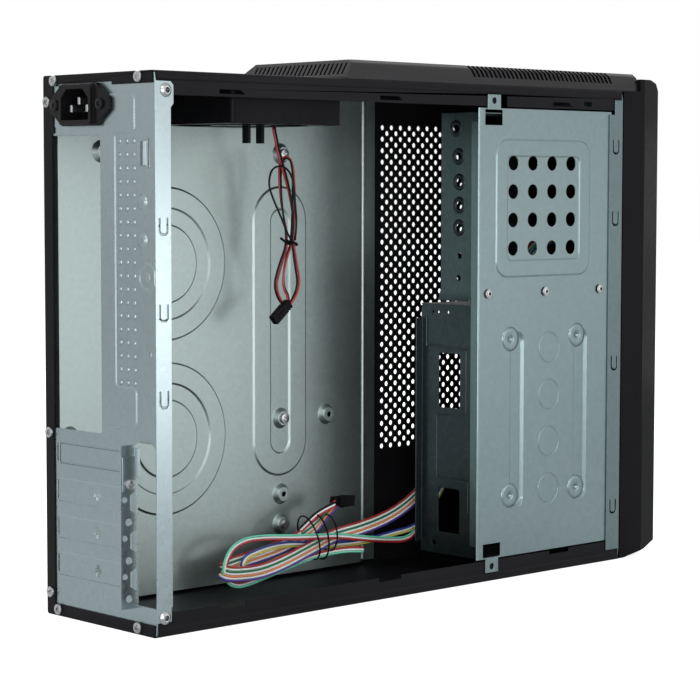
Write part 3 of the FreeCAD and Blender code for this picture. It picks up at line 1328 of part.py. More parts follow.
def make_case_screws():
    screws = new_body("rear_screws")
    for centre in REAR_SCREWS:
        fastener(screws, "x", 0, centre)
    rivets = new_body("ear_rivets")
    for centre in (
        (flange.ear_rivet_x, flange.ear_rivet_z), (flange.foot_rivet_x, flange.foot_rivet_z),
    ):
        fastener(rivets, "y", 0, centre, head=screw.shank * 1.9, length=zinc.thick + steel.thick + 1)


# Cords: straight runs joined by arcs that touch both runs


def rounded_route(points):
    """Straight runs joined by arcs as large as their two runs allow."""
    corners = [FreeCAD.Vector(*point) for point in points]
    edges = []
    radii = []
    start = corners[0]
    for index in range(1, len(corners) - 1):
        corner = corners[index]
        before = corners[index - 1] - corner
        after = corners[index + 1] - corner
        reach = 0.45 * min(before.Length, after.Length)
        before.normalize()
        after.normalize()
        half_turn = (math.pi - before.getAngle(after)) / 2
        radius = reach / math.tan(half_turn)
        radii.append(round(radius, 1))
        first = corner + before * reach
        last = corner + after * reach
        inward = before + after
        inward.normalize()
        middle = corner + inward * (radius / math.cos(half_turn) - radius)
        edges.append(Part.LineSegment(start, first).toShape())
        edges.append(Part.Arc(first, middle, last).toShape())
        start = last
    edges.append(Part.LineSegment(start, corners[-1]).toShape())
    return Part.Wire(edges), radii


def cord(name, points, diameter):
    """A round cord along a route, as one solid of its own."""
    path, radii = rounded_route(points)
    direction = FreeCAD.Vector(*points[1]) - FreeCAD.Vector(*points[0])
    ring = Part.makeCircle(number(diameter) / 2, FreeCAD.Vector(*points[0]), direction)
    solid = path.makePipeShell([Part.Wire([ring])], True, False)
    body = doc.addObject("Part::Feature", name)
    body.Label = name
    body.Shape = solid
    place(body)
    pieces.append(body)
    wanted = path.Length * math.pi * (number(diameter) / 2) ** 2
    print(name, "length", round(path.Length, 1), "volume share", round(solid.Volume / wanted, 4), "radii", radii)


FAN_ROUTE = (
    (134.0, 60.0, 269.2), (138.0, 60.4, 254.0), (144.0, 60.8, 236.0), (148.2, 61.2, 219.0),
    (149.7, 61.5, 203.0), (152.6, 61.8, 189.0), (154.6, 62.0, 176.5), (147.0, 62.8, 168.0),
    (139.6, 63.4, 176.0), (142.6, 63.6, 189.0), (148.2, 63.5, 203.0), (144.0, 64.2, 222.0),
    (142.4, 65.0, 239.0), (147.6, 65.6, 247.5), (152.8, 65.8, 239.0), (152.4, 65.4, 222.0),
    (150.2, 64.8, 203.0), (146.2, 67.0, 189.0), (145.0, 67.6, 182.0), (145.0, 67.6, 174.5),
)
TAIL_ROUTE = (
    (388.0, 52.0, 205.0), (374.0, 52.0, 205.0), (360.0, 57.0, 201.0), (349.0, 62.0, 190.0),
    (341.5, 65.5, 172.0), (336.0, 67.0, 148.0), (328.0, 68.0, 120.0), (314.0, 68.0, 92.0),
    (292.0, 68.0, 68.0), (264.0, 67.6, 49.0), (240.0, 67.0, 34.5), (224.0, 67.0, 30.0), (206.0, 67.0, 30.0),
)


def make_cords():
    cord("fan_lead", FAN_ROUTE, wire.fan)
    cord("front_cable", TAIL_ROUTE, wire.tail)
    plug = new_body("fan_plug")
    end_x, end_y, end_z = FAN_ROUTE[-1]
    extrude(plug, "z", end_z - lead.plug_length, lead.plug_length, box(
        end_x - lead.plug / 2, end_y - lead.plug_depth / 2, lead.plug, lead.plug_depth,
    ))
    tie = new_body("fan_lead_tie")
    turned(tie, "z", (lead.tie_x, lead.tie_y), (
        (lead.tie_z, lead.tie), (lead.tie_z + lead.tie_height, lead.tie),
        (lead.tie_z + lead.tie_height, lead.tie + lead.tie_thick), (lead.tie_z, lead.tie + lead.tie_thick),
    ))
    folded = new_body("cable_hank")
    left = hank.left
    low = steel.thick + fit.slip
    high = hank.high
    extrude(folded, "y", hank.near, hank.far - hank.near, polygon(
        (left, low + 13), (left + 6, low + 3.5), (left + 18, low), (left + 43, low + 4),
        (left + 79, low + 11), (hank.right, low + 19), (hank.right, high), (left + 79, high),
        (left + 43, high - 6), (left + 15, high - 9), (left + 4, high - 15),
    ))
    ties = new_body("cable_ties")
    for middle in (hank.tie_first, hank.tie_second):
        tie_low = low + 11 + (middle - left - 79) / 28 * 8 - 1.2
        extrude(
            ties, "x", middle - hank.tie / 2, hank.tie,
            rectangle(
                hank.near - hank.tie - fit.slip, tie_low - hank.tie,
                hank.far + hank.tie + fit.slip, high + hank.tie + fit.slip,
            ),
            rectangle(hank.near - fit.slip, tie_low, hank.far + fit.slip, high + fit.slip),
        )
    plugs = new_body("cable_plugs")
    for index in range(round(hank.plugs.value)):
        row_near = hank.near + hank.plug_inset + index * (hank.plug_width + hank.plug_gap)
        extrude(plugs, "z", high, hank.plug_height, box(
            hank.plug_left + index * hank.plug_step, row_near, hank.plug_length, hank.plug_width,
        ))


make_outer_shell()
make_rear_panel()
make_slot_cover()
make_tray()
make_cage_plate()
make_disk_bracket()
make_optical_bracket()
make_front_frame()
make_front_bezel()
make_front_face()
make_button("power_button", button.power_z, button.power)
make_button("reset_button", button.reset_z, button.reset)
make_front_panel()
make_top_cover()
make_fan()
make_inlet()
make_case_screws()
make_cords()
doc.recompute()

failed = [thing.Label for thing in doc.Objects if {"Invalid", "Error"} & set(thing.State)]
for piece in pieces:
    if piece.Shape.isNull() or not piece.Shape.isValid():
        failed.append(piece.Label)
if failed:
    raise SystemExit("not written, because these failed: " + ", ".join(failed))

os.makedirs("parts", exist_ok=True)
for piece in pieces:
    piece.Shape.exportStep(os.path.join("parts", piece.Label + ".step"))
    box_of = piece.Shape.BoundBox
    print(
        piece.Label, len(piece.Shape.Solids), "solids", round(piece.Shape.Volume), "mm3",
        [round(v, 1) for v in (box_of.XMin, box_of.XMax, box_of.YMin, box_of.YMax, box_of.ZMin, box_of.ZMax)],
    )
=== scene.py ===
"""Looks of a slim mini ITX case whose side cover is off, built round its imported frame."""
import bpy
import bmesh
import json
import math
from mathutils import Euler, Matrix, Vector


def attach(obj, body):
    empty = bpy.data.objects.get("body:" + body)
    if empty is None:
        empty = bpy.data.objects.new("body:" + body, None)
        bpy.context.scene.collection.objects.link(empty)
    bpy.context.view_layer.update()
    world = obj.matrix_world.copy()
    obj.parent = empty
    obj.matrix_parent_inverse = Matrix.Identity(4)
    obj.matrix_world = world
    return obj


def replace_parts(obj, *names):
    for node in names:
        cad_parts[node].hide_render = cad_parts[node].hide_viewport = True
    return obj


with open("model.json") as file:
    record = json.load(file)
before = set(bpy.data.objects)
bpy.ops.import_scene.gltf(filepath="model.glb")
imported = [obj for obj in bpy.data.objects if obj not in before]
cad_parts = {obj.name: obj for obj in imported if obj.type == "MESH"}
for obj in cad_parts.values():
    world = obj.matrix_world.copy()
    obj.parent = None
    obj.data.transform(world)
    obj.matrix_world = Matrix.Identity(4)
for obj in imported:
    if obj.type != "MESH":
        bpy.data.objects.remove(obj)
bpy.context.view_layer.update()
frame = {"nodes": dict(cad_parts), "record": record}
SLOTS = {entry["node"]: entry["material_slot"] for entry in frame["record"]["subparts"]}
MM = 0.001
SHELL_MIDDLE_X = 186.0
SHELL_MIDDLE_Y = 48.5


def at(x, y, z):
    """A point given in the maker's millimetres, from the shell's rear, near, bottom corner."""
    return Vector(((x - SHELL_MIDDLE_X) * MM, (y - SHELL_MIDDLE_Y) * MM, z * MM))


# Camera, lamps and floor

CAMERA_AT = at(-718.446, -916.103, 236.217)
CAMERA_AZIMUTH = math.radians(-43.071)
CAMERA_ELEVATION = math.radians(4.193)
CAMERA_ROLL = math.radians(0.085)
CAMERA_LENS = 115.8
SENSOR_WIDTH = 36.0
CLIP_START = 0.01
CLIP_END = 50.0
WHITE = (1, 1, 1, 1)
ROOM = (0.9, 0.95, 1.0, 1)
AMBIENT = 0.36
FLOOR_GREY = (0.8, 0.8, 0.8, 1)
FLOOR_REACH = 6
FLOOR_LEVEL = -0.0002
FLOOR_LIFT = 0.82
FLOOR_MIRRORED = 0.3
# Each lamp: name, place, the point that it faces, width, height and power
LAMPS = (
    ("key", (-1.6, -1.5, 1.9), (0, 0, 0.15), 1.6, 1.2, 20),
    ("fill", (0.9, -2.2, 1.1), (0, 0, 0.12), 1.4, 1.4, 7),
    ("front", (-0.95, -0.76, 0.15), (0.0, 0, 0.15), 0.28, 0.55, 2.6),
    ("edge", (-1.16, -0.27, 0.15), (0.1, 0, 0.15), 0.26, 0.5, 0.9),
    ("near", (-0.76, -1.12, 0.15), (0.1, 0, 0.15), 0.30, 0.5, 4.2),
    ("side", (0.49, -0.98, 0.07), (-0.17, 0, 0.15), 0.26, 0.34, 1.5),
    ("side_front", (1.06, -0.95, 0.12), (0.15, 0, 0.15), 0.40, 0.36, 0.3),
    ("rim", (0.6, 1.8, 1.8), (0, 0, 0.2), 1.2, 1.2, 22),
)


def set_camera():
    data = bpy.data.cameras.new("photo_camera")
    camera = bpy.data.objects.new("photo_camera", data)
    bpy.context.scene.collection.objects.link(camera)
    data.lens = CAMERA_LENS
    data.sensor_width = SENSOR_WIDTH
    data.clip_start = CLIP_START
    data.clip_end = CLIP_END
    back = Vector((
        math.sin(CAMERA_AZIMUTH) * math.cos(CAMERA_ELEVATION),
        -math.cos(CAMERA_AZIMUTH) * math.cos(CAMERA_ELEVATION),
        math.sin(CAMERA_ELEVATION),
    ))
    turn = (-back).to_track_quat("-Z", "Y").to_matrix() @ Matrix.Rotation(CAMERA_ROLL, 3, "Z")
    camera.rotation_mode = "QUATERNION"
    camera.rotation_quaternion = turn.to_quaternion()
    camera.location = CAMERA_AT
    bpy.context.scene.camera = camera


def add_lamp(name, place, target, width, height, power):
    data = bpy.data.lights.new(name, "AREA")
    data.shape = "RECTANGLE"
    data.size = width
    data.size_y = height
    data.energy = power
    lamp = bpy.data.objects.new(name, data)
    bpy.context.scene.collection.objects.link(lamp)
    lamp.location = place
    lamp.rotation_mode = "QUATERNION"
    lamp.rotation_quaternion = (Vector(target) - Vector(place)).to_track_quat("-Z", "Y")


def background(tree, colour, strength):
    node = tree.nodes.new("ShaderNodeBackground")
    node.inputs["Color"].default_value = colour
    node.inputs["Strength"].default_value = strength
    return node.outputs["Background"]


def worked_out(tree, operation, *sources):
    """A math node whose inputs are links or plain numbers."""
    node = tree.nodes.new("ShaderNodeMath")
    node.operation = operation
    for socket, source in zip(node.inputs, sources):
        if isinstance(source, float):
            socket.default_value = source
        else:
            tree.links.new(source, socket)
    return node.outputs["Value"]


def set_world():
    """A plain room that the camera, mirrored rays and rays through glass see as white."""
    world = bpy.data.worlds.new("studio")
    bpy.context.scene.world = world
    world.use_nodes = True
    tree = world.node_tree
    tree.nodes.clear()
    path = tree.nodes.new("ShaderNodeLightPath")
    mix = tree.nodes.new("ShaderNodeMixShader")
    out = tree.nodes.new("ShaderNodeOutputWorld")
    seen = worked_out(tree, "MAXIMUM", path.outputs["Is Camera Ray"], path.outputs["Is Glossy Ray"])
    seen = worked_out(tree, "MAXIMUM", seen, path.outputs["Is Transmission Ray"])
    tree.links.new(seen, mix.inputs["Fac"])
    tree.links.new(background(tree, ROOM, AMBIENT), mix.inputs[1])
    tree.links.new(background(tree, WHITE, 1.0), mix.inputs[2])
    tree.links.new(mix.outputs["Shader"], out.inputs["Surface"])


def set_floor():
    bm = bmesh.new()
    for x, y in ((-1, -1), (1, -1), (1, 1), (-1, 1)):
        bm.verts.new((x * FLOOR_REACH, y * FLOOR_REACH, FLOOR_LEVEL))
    bm.faces.new(bm.verts)
    floor = make_object("floor", from_bmesh("floor", bm))
    floor.data.materials.append(white_floor())


def set_stage():
    bpy.context.scene.view_settings.view_transform = "Standard"
    set_world()
    set_floor()
    for lamp in LAMPS:
        add_lamp(*lamp)


def white_floor():
    """A pale floor that the camera sees as white where nothing shades it."""
    material = bpy.data.materials.new("white_floor")
    material.use_nodes = True
    tree = material.node_tree
    tree.nodes.clear()
    path = tree.nodes.new("ShaderNodeLightPath")
    matt = tree.nodes.new("ShaderNodeBsdfDiffuse")
    matt.inputs["Color"].default_value = FLOOR_GREY
    lift = tree.nodes.new("ShaderNodeEmission")
    lift.inputs["Color"].default_value = WHITE
    both = tree.nodes.new("ShaderNodeAddShader")
    out = tree.nodes.new("ShaderNodeOutputMaterial")
    mirrored = worked_out(tree, "MULTIPLY", path.outputs["Is Glossy Ray"], FLOOR_MIRRORED)
    strength = worked_out(tree, "MULTIPLY_ADD", path.outputs["Is Camera Ray"], FLOOR_LIFT, mirrored)
    tree.links.new(strength, lift.inputs["Strength"])
    tree.links.new(matt.outputs["BSDF"], both.inputs[0])
    tree.links.new(lift.outputs["Emission"], both.inputs[1])
    tree.links.new(both.outputs["Shader"], out.inputs["Surface"])
    return material


# Materials

# How fine the patterns of the finishes are, in features for each metre
SAND = 2600
PAINT_CLOUD = 14
SPANGLE = 380.0
ZINC_WARP = 30
ZINC_CLOUD = 9
ZINC_MARKS = 900
MOULDING_GRAIN = 900.0
MOULDING_CLOUD = 20
PLATING_CLOUD = 160
# How deep their grain is, in metres
SAND_DEPTH = 0.00003
ZINC_DEPTH = 0.00002
MOULDING_DEPTH = 0.00002
GLOSSY_DEPTH = 0.000004
# How far the zinc crystals' edges wander, and how much their tone gives way to a cloudy one
WARP_REACH = 0.006
CLOUD_SHARE = 0.62


def new_material(name):
    material = bpy.data.materials.new(name)
    material.use_nodes = True
    tree = material.node_tree
    shader = tree.nodes["Principled BSDF"]
    coordinates = tree.nodes.new("ShaderNodeTexCoord")
    return material, tree, shader, coordinates.outputs["Object"]


def noise(tree, source, scale, detail):
    node = tree.nodes.new("ShaderNodeTexNoise")
    node.inputs["Scale"].default_value = scale
    node.inputs["Detail"].default_value = detail
    tree.links.new(source, node.inputs["Vector"])
    return node.outputs["Fac"]


def ramp(tree, source, low, high, first, last):
    """Maps a value between low and high onto two colours or two grey levels."""
    node = tree.nodes.new("ShaderNodeValToRGB")
    node.color_ramp.elements[0].position = low
    node.color_ramp.elements[1].position = high
    for element, level in zip(node.color_ramp.elements, (first, last)):
        element.color = (*level, 1) if isinstance(level, tuple) else (level, level, level, 1)
    tree.links.new(source, node.inputs["Fac"])
    return node.outputs["Color"]


def bump(tree, shader, source, height, strength):
    node = tree.nodes.new("ShaderNodeBump")
    node.inputs["Strength"].default_value = strength
    node.inputs["Distance"].default_value = height
    tree.links.new(source, node.inputs["Height"])
    tree.links.new(node.outputs["Normal"], shader.inputs["Normal"])


def powder_coat(name, dark, light, rough, gloss):
    """Black paint with a fine sand texture."""
    material, tree, shader, place = new_material(name)
    grain = noise(tree, place, SAND, 3)
    cloud = noise(tree, place, PAINT_CLOUD, 3)
    tree.links.new(ramp(tree, cloud, 0.3, 0.7, dark, light), shader.inputs["Base Color"])
    tree.links.new(ramp(tree, grain, 0.3, 0.7, rough - 0.06, rough + 0.08), shader.inputs["Roughness"])
    shader.inputs["Specular IOR Level"].default_value = gloss
    bump(tree, shader, grain, SAND_DEPTH, 0.5)
    return material


def galvanised(name, dark, light, rough):
    """Hot dipped zinc: crystals of slightly different tone with fine rolling marks."""
    material, tree, shader, place = new_material(name)
    crystals = tree.nodes.new("ShaderNodeTexVoronoi")
    crystals.inputs["Scale"].default_value = SPANGLE
    warp = noise(tree, place, ZINC_WARP, 2)
    shifted = tree.nodes.new("ShaderNodeVectorMath")
    shifted.operation = "MULTIPLY_ADD"
    shifted.inputs[1].default_value = (WARP_REACH, WARP_REACH, WARP_REACH)
    tree.links.new(warp, shifted.inputs[0])
    tree.links.new(place, shifted.inputs[2])
    tree.links.new(shifted.outputs["Vector"], crystals.inputs["Vector"])
    tone = tree.nodes.new("ShaderNodeSeparateColor")
    tree.links.new(crystals.outputs["Color"], tone.inputs["Color"])
    cloud = noise(tree, place, ZINC_CLOUD, 4)
    blend = tree.nodes.new("ShaderNodeMix")
    blend.data_type = "FLOAT"
    blend.inputs["Factor"].default_value = CLOUD_SHARE
    tree.links.new(tone.outputs["Red"], blend.inputs["A"])
    tree.links.new(cloud, blend.inputs["B"])
    mixed = blend.outputs["Result"]
    tree.links.new(ramp(tree, mixed, 0.2, 0.8, dark, light), shader.inputs["Base Color"])
    tree.links.new(ramp(tree, mixed, 0.2, 0.8, rough - 0.02, rough + 0.03), shader.inputs["Roughness"])
    shader.inputs["Metallic"].default_value = 1.0
    fine = noise(tree, place, ZINC_MARKS, 2)
    bump(tree, shader, fine, ZINC_DEPTH, 0.15)
    return material


def plastic(name, dark, light, rough, grain=MOULDING_GRAIN, depth=MOULDING_DEPTH, gloss=0.5):
    """Moulded plastic with a fine grain."""
    material, tree, shader, place = new_material(name)
    cloud = noise(tree, place, MOULDING_CLOUD, 2)
    fine = noise(tree, place, grain, 2)
    tree.links.new(ramp(tree, cloud, 0.3, 0.7, dark, light), shader.inputs["Base Color"])
    tree.links.new(ramp(tree, fine, 0.3, 0.7, rough - 0.04, rough + 0.05), shader.inputs["Roughness"])
    shader.inputs["Specular IOR Level"].default_value = gloss
    bump(tree, shader, fine, depth, 0.4)
    return material


def plated(name, dark, light, rough):
    """Bright plating with a faint cloudy tone."""
    material, tree, shader, place = new_material(name)
    cloud = noise(tree, place, PLATING_CLOUD, 3)
    tree.links.new(ramp(tree, cloud, 0.3, 0.7, dark, light), shader.inputs["Base Color"])
    tree.links.new(ramp(tree, cloud, 0.3, 0.7, rough, rough + 0.12), shader.inputs["Roughness"])
    shader.inputs["Metallic"].default_value = 1.0
    return material


FINISHES = {
    "black_steel": powder_coat(
        "black_powder_coat", (0.0055, 0.0055, 0.0066), (0.0085, 0.0085, 0.0098), 0.40, 0.075,
    ),
    "zinc_rear": galvanised("zinc_rear", (0.265, 0.32, 0.335), (0.29, 0.35, 0.365), 0.28),
    "zinc_tray": galvanised("zinc_tray", (0.27, 0.325, 0.318), (0.31, 0.37, 0.361), 0.44),
    "zinc_cage": galvanised("zinc_cage", (0.175, 0.23, 0.237), (0.197, 0.254, 0.263), 0.30),
    # zinc_dark is a much darker copy of the galvanised zinc: painted shade for sheets and rims that sit in
    # shade
    "zinc_dark": galvanised("zinc_dark", (0.034, 0.044, 0.048), (0.050, 0.062, 0.066), 0.36),
    "bright_screw": plated("bright_zinc_plate", (0.30, 0.31, 0.32), (0.44, 0.45, 0.45), 0.26),
    "dark_screw": powder_coat("black_oxide", (0.006, 0.006, 0.007), (0.012, 0.012, 0.013), 0.3, 0.15),
    "black_plastic": plastic(
        "black_moulding", (0.0045, 0.0045, 0.0053), (0.007, 0.007, 0.008), 0.30, gloss=0.045,
    ),
    "gloss_black": plastic(
        "piano_black", (0.002, 0.002, 0.0026), (0.003, 0.003, 0.0038), 0.10, grain=300.0,
        depth=GLOSSY_DEPTH, gloss=0.18,
    ),
    "silver_button": plated("silver_button", (0.60, 0.61, 0.62), (0.78, 0.79, 0.80), 0.2),
    "green_board": plastic("solder_mask", (0.004, 0.07, 0.03), (0.006, 0.10, 0.04), 0.35),
    "clear_lens": plastic("clear_lens", (0.5, 0.56, 0.66), (0.6, 0.66, 0.74), 0.12),
    "inlet_black": plastic("black_nylon", (0.004, 0.004, 0.0045), (0.007, 0.007, 0.008), 0.34, gloss=0.12),
    "red_black_wire": plastic("red_wire", (0.45, 0.02, 0.015), (0.6, 0.03, 0.02), 0.35),
    "ribbon_wire": plastic("ribbon_wire", (0.55, 0.5, 0.48), (0.7, 0.66, 0.62), 0.4),
}
# Pieces with a finish of their own: the top cover's glossier moulding, and darker copies of the zinc for the
# front frame and the two drive brackets, painted shade for the shade these sheets sit in
OWN_GLOSS_OR_PAINTED_SHADE = {
    "top_cover": plastic("cover_moulding", (0.004, 0.004, 0.005), (0.007, 0.007, 0.009), 0.30, gloss=0.32),
    "front_frame": galvanised("zinc_front_frame", (0.115, 0.155, 0.163), (0.135, 0.18, 0.188), 0.36),
    "optical_bracket": galvanised("zinc_optical_bracket", (0.045, 0.056, 0.06), (0.062, 0.076, 0.081), 0.30),
    "disk_bracket": galvanised("zinc_disk_bracket", (0.075, 0.097, 0.101), (0.098, 0.124, 0.129), 0.30),
}
# A darker copy of the zinc: painted shade on the latch's near slope, to tone down its highlight
LATCH_PAINTED_SHADE = galvanised("zinc_latch", (0.12, 0.145, 0.152), (0.14, 0.168, 0.176), 0.36)
WIRE = {
    "red": plastic("red_wire_skin", (0.28, 0.010, 0.012), (0.40, 0.018, 0.018), 0.32),
    "black": plastic("black_wire_skin", (0.004, 0.004, 0.005), (0.008, 0.008, 0.009), 0.34, gloss=0.12),
    "white": plastic("white_wire_skin", (0.70, 0.71, 0.70), (0.85, 0.86, 0.85), 0.34),
    "green": plastic("green_wire_skin", (0.008, 0.13, 0.05), (0.014, 0.19, 0.075), 0.34),
    "orange": plastic("orange_wire_skin", (0.62, 0.20, 0.06), (0.78, 0.28, 0.10), 0.34),
    "purple": plastic("purple_wire_skin", (0.055, 0.03, 0.22), (0.09, 0.05, 0.32), 0.34),
    "mint": plastic("mint_wire_skin", (0.10, 0.52, 0.34), (0.16, 0.66, 0.45), 0.34),
    "blue": plastic("blue_wire_skin", (0.012, 0.03, 0.20), (0.02, 0.05, 0.30), 0.34),
    "yellow": plastic("yellow_wire_skin", (0.45, 0.42, 0.06), (0.6, 0.55, 0.1), 0.34),
}


# The rear panel's pressed latch, whose near slope gets painted shade: it lies behind this place along x,
# between these two levels, in mm
LATCH_PROUD = 0.6
LATCH_LOW = 245.8
LATCH_HIGH = 258.8


# Mesh helpers

# How near two points are one, in metres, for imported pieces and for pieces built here
DOUBLE = 1e-6
WELD = 1e-7
# The angle, in degrees, that still counts as flat, and the one from which an edge is rounded
FLAT_ANGLE = 0.6
EDGE_ANGLE = 38
BEVEL_STEPS = 2


def make_object(name, mesh):
    made = bpy.data.objects.new(name, mesh)
    bpy.context.scene.collection.objects.link(made)
    return made


def from_bmesh(name, bm):
    mesh = bpy.data.meshes.new(name)
    bm.to_mesh(mesh)
    bm.free()
    return mesh


def join_piece(piece, body="case"):
    """Makes a piece follow a body."""
    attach(piece, body)
    return piece


def finished(piece, slot):
    """A piece of the case in one finish."""
    piece.data.materials.clear()
    piece.data.materials.append(FINISHES[slot])
    return join_piece(piece)


def settled(made):
    """Turns an object with live modifiers into a plain one of the same name."""
    bpy.context.view_layer.update()
    graph = bpy.context.evaluated_depsgraph_get()
    mesh = bpy.data.meshes.new_from_object(made.evaluated_get(graph))
    name = made.name
    bpy.data.objects.remove(made)
    mesh.name = name
    return make_object(name, mesh)


def welded(node):
    """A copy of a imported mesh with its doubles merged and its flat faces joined."""
    bm = bmesh.new()
    bm.from_mesh(node.data)
    bmesh.ops.remove_doubles(bm, verts=bm.verts, dist=DOUBLE)
    bmesh.ops.dissolve_degenerate(bm, edges=bm.edges, dist=WELD)
    bmesh.ops.dissolve_limit(
        bm, angle_limit=math.radians(FLAT_ANGLE), verts=bm.verts, edges=bm.edges, delimit={"NORMAL"},
    )
    bmesh.ops.recalc_face_normals(bm, faces=bm.faces)
    for face in bm.faces:
        face.smooth = True
    return bm


def soften_edges(made, width):
    """Small round edges on a piece, with flat faces that stay flat."""
    bevel = made.modifiers.new("round edges", "BEVEL")
    bevel.limit_method = "ANGLE"
    bevel.angle_limit = math.radians(EDGE_ANGLE)
    bevel.width = width
    bevel.segments = BEVEL_STEPS
    bevel.use_clamp_overlap = False
    weight = made.modifiers.new("even shading", "WEIGHTED_NORMAL")
    weight.keep_sharp = True


def refined(name, width):
    """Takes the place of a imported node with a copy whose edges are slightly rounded."""
    made = make_object(name + "_finished", from_bmesh(name + "_finished", welded(frame["nodes"][name])))
    soften_edges(made, width)
    made = settled(made)
    made.data.materials.clear()
    made.data.materials.append(OWN_GLOSS_OR_PAINTED_SHADE.get(name, FINISHES[SLOTS[name]]))
    if name == "rear_panel":
        paint_latch_shade(made.data)
    join_piece(made, RIDERS.get(name, "case"))
    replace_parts(made, name)


def paint_latch_shade(mesh):
    """Gives the near slope of the rear panel's pressed latch a darker zinc, painted shade that tones down
    the lamps' highlight on it.
    """
    mesh.materials.append(LATCH_PAINTED_SHADE)
    edge = at(LATCH_PROUD, 0, 0).x
    for face in mesh.polygons:
        sloped = face.normal.x < 0 and face.normal.y < -0.1
        proud = face.center.x < edge
        if sloped and proud and LATCH_LOW * MM < face.center.z < LATCH_HIGH * MM:
            face.material_index = 1


def loose_parts(name):
    """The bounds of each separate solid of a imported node, sorted along x, then z."""
    bm = bmesh.new()
    bm.from_mesh(frame["nodes"][name].data)
    bmesh.ops.remove_doubles(bm, verts=bm.verts, dist=DOUBLE)
    left = set(bm.verts)
    found = []
    while left:
        stack = [left.pop()]
        group = []
        while stack:
            vertex = stack.pop()
            group.append(vertex.co.copy())
            for edge in vertex.link_edges:
                other = edge.other_vert(vertex)
                if other in left:
                    left.remove(other)
                    stack.append(other)
        low = Vector([min(place[axis] for place in group) for axis in range(3)])
        high = Vector([max(place[axis] for place in group) for axis in range(3)])
        found.append((low, high))
    bm.free()
    return sorted(found, key=lambda pair: (round(pair[0].x, 5), round(pair[0].z, 5)))


def ring_round(bm, centre, across, up, radius, steps):
    """A circle of points in the plane of two ways."""
    ring = []
    for index in range(steps):
        turn = 2 * math.pi * index / steps
        ring.append(bm.verts.new(centre + (across * math.cos(turn) + up * math.sin(turn)) * radius))
    return ring


def level_ring(bm, radius, height, steps):
    return ring_round(bm, Vector((0, 0, height)), Vector((1, 0, 0)), Vector((0, 1, 0)), radius, steps)


def bridged(bm, lower, upper):
    """The faces between two rings. A ring of one point closes to a tip."""
    made = []
    for index in range(max(len(lower), len(upper))):
        corners = []
        for corner in (
            lower[index % len(lower)], lower[(index + 1) % len(lower)],
            upper[(index + 1) % len(upper)], upper[index % len(upper)],
        ):
            if corner not in corners:
                corners.append(corner)
        made.append(bm.faces.new(corners))
    return made


def smooth_mesh(name, bm):
    """Ends a closed shape: faces outward and smoothly shaded."""
    bmesh.ops.recalc_face_normals(bm, faces=bm.faces)
    for face in bm.faces:
        face.smooth = True
    return from_bmesh(name, bm)


def revolved(name, profile, steps):
    """A closed solid turned about z from (radius, height) pairs, in mm, that start and end on the axis."""
    bm = bmesh.new()
    rings = []
    for radius, height in profile:
        if radius:
            rings.append(level_ring(bm, radius * MM, height * MM, steps))
        else:
            rings.append([bm.verts.new((0, 0, height * MM))])
    for lower, upper in zip(rings, rings[1:]):
        bridged(bm, lower, upper)
    return smooth_mesh(name, bm)


def sharpen(mesh, degrees):
    """Marks the edges that turn more than an angle as sharp."""
    bm = bmesh.new()
    bm.from_mesh(mesh)
    limit = math.radians(degrees)
    for edge in bm.edges:
        edge.smooth = len(edge.link_faces) == 2 and edge.calc_face_angle(0) < limit
    bm.to_mesh(mesh)
    bm.free()
    return mesh


# Repeated pieces


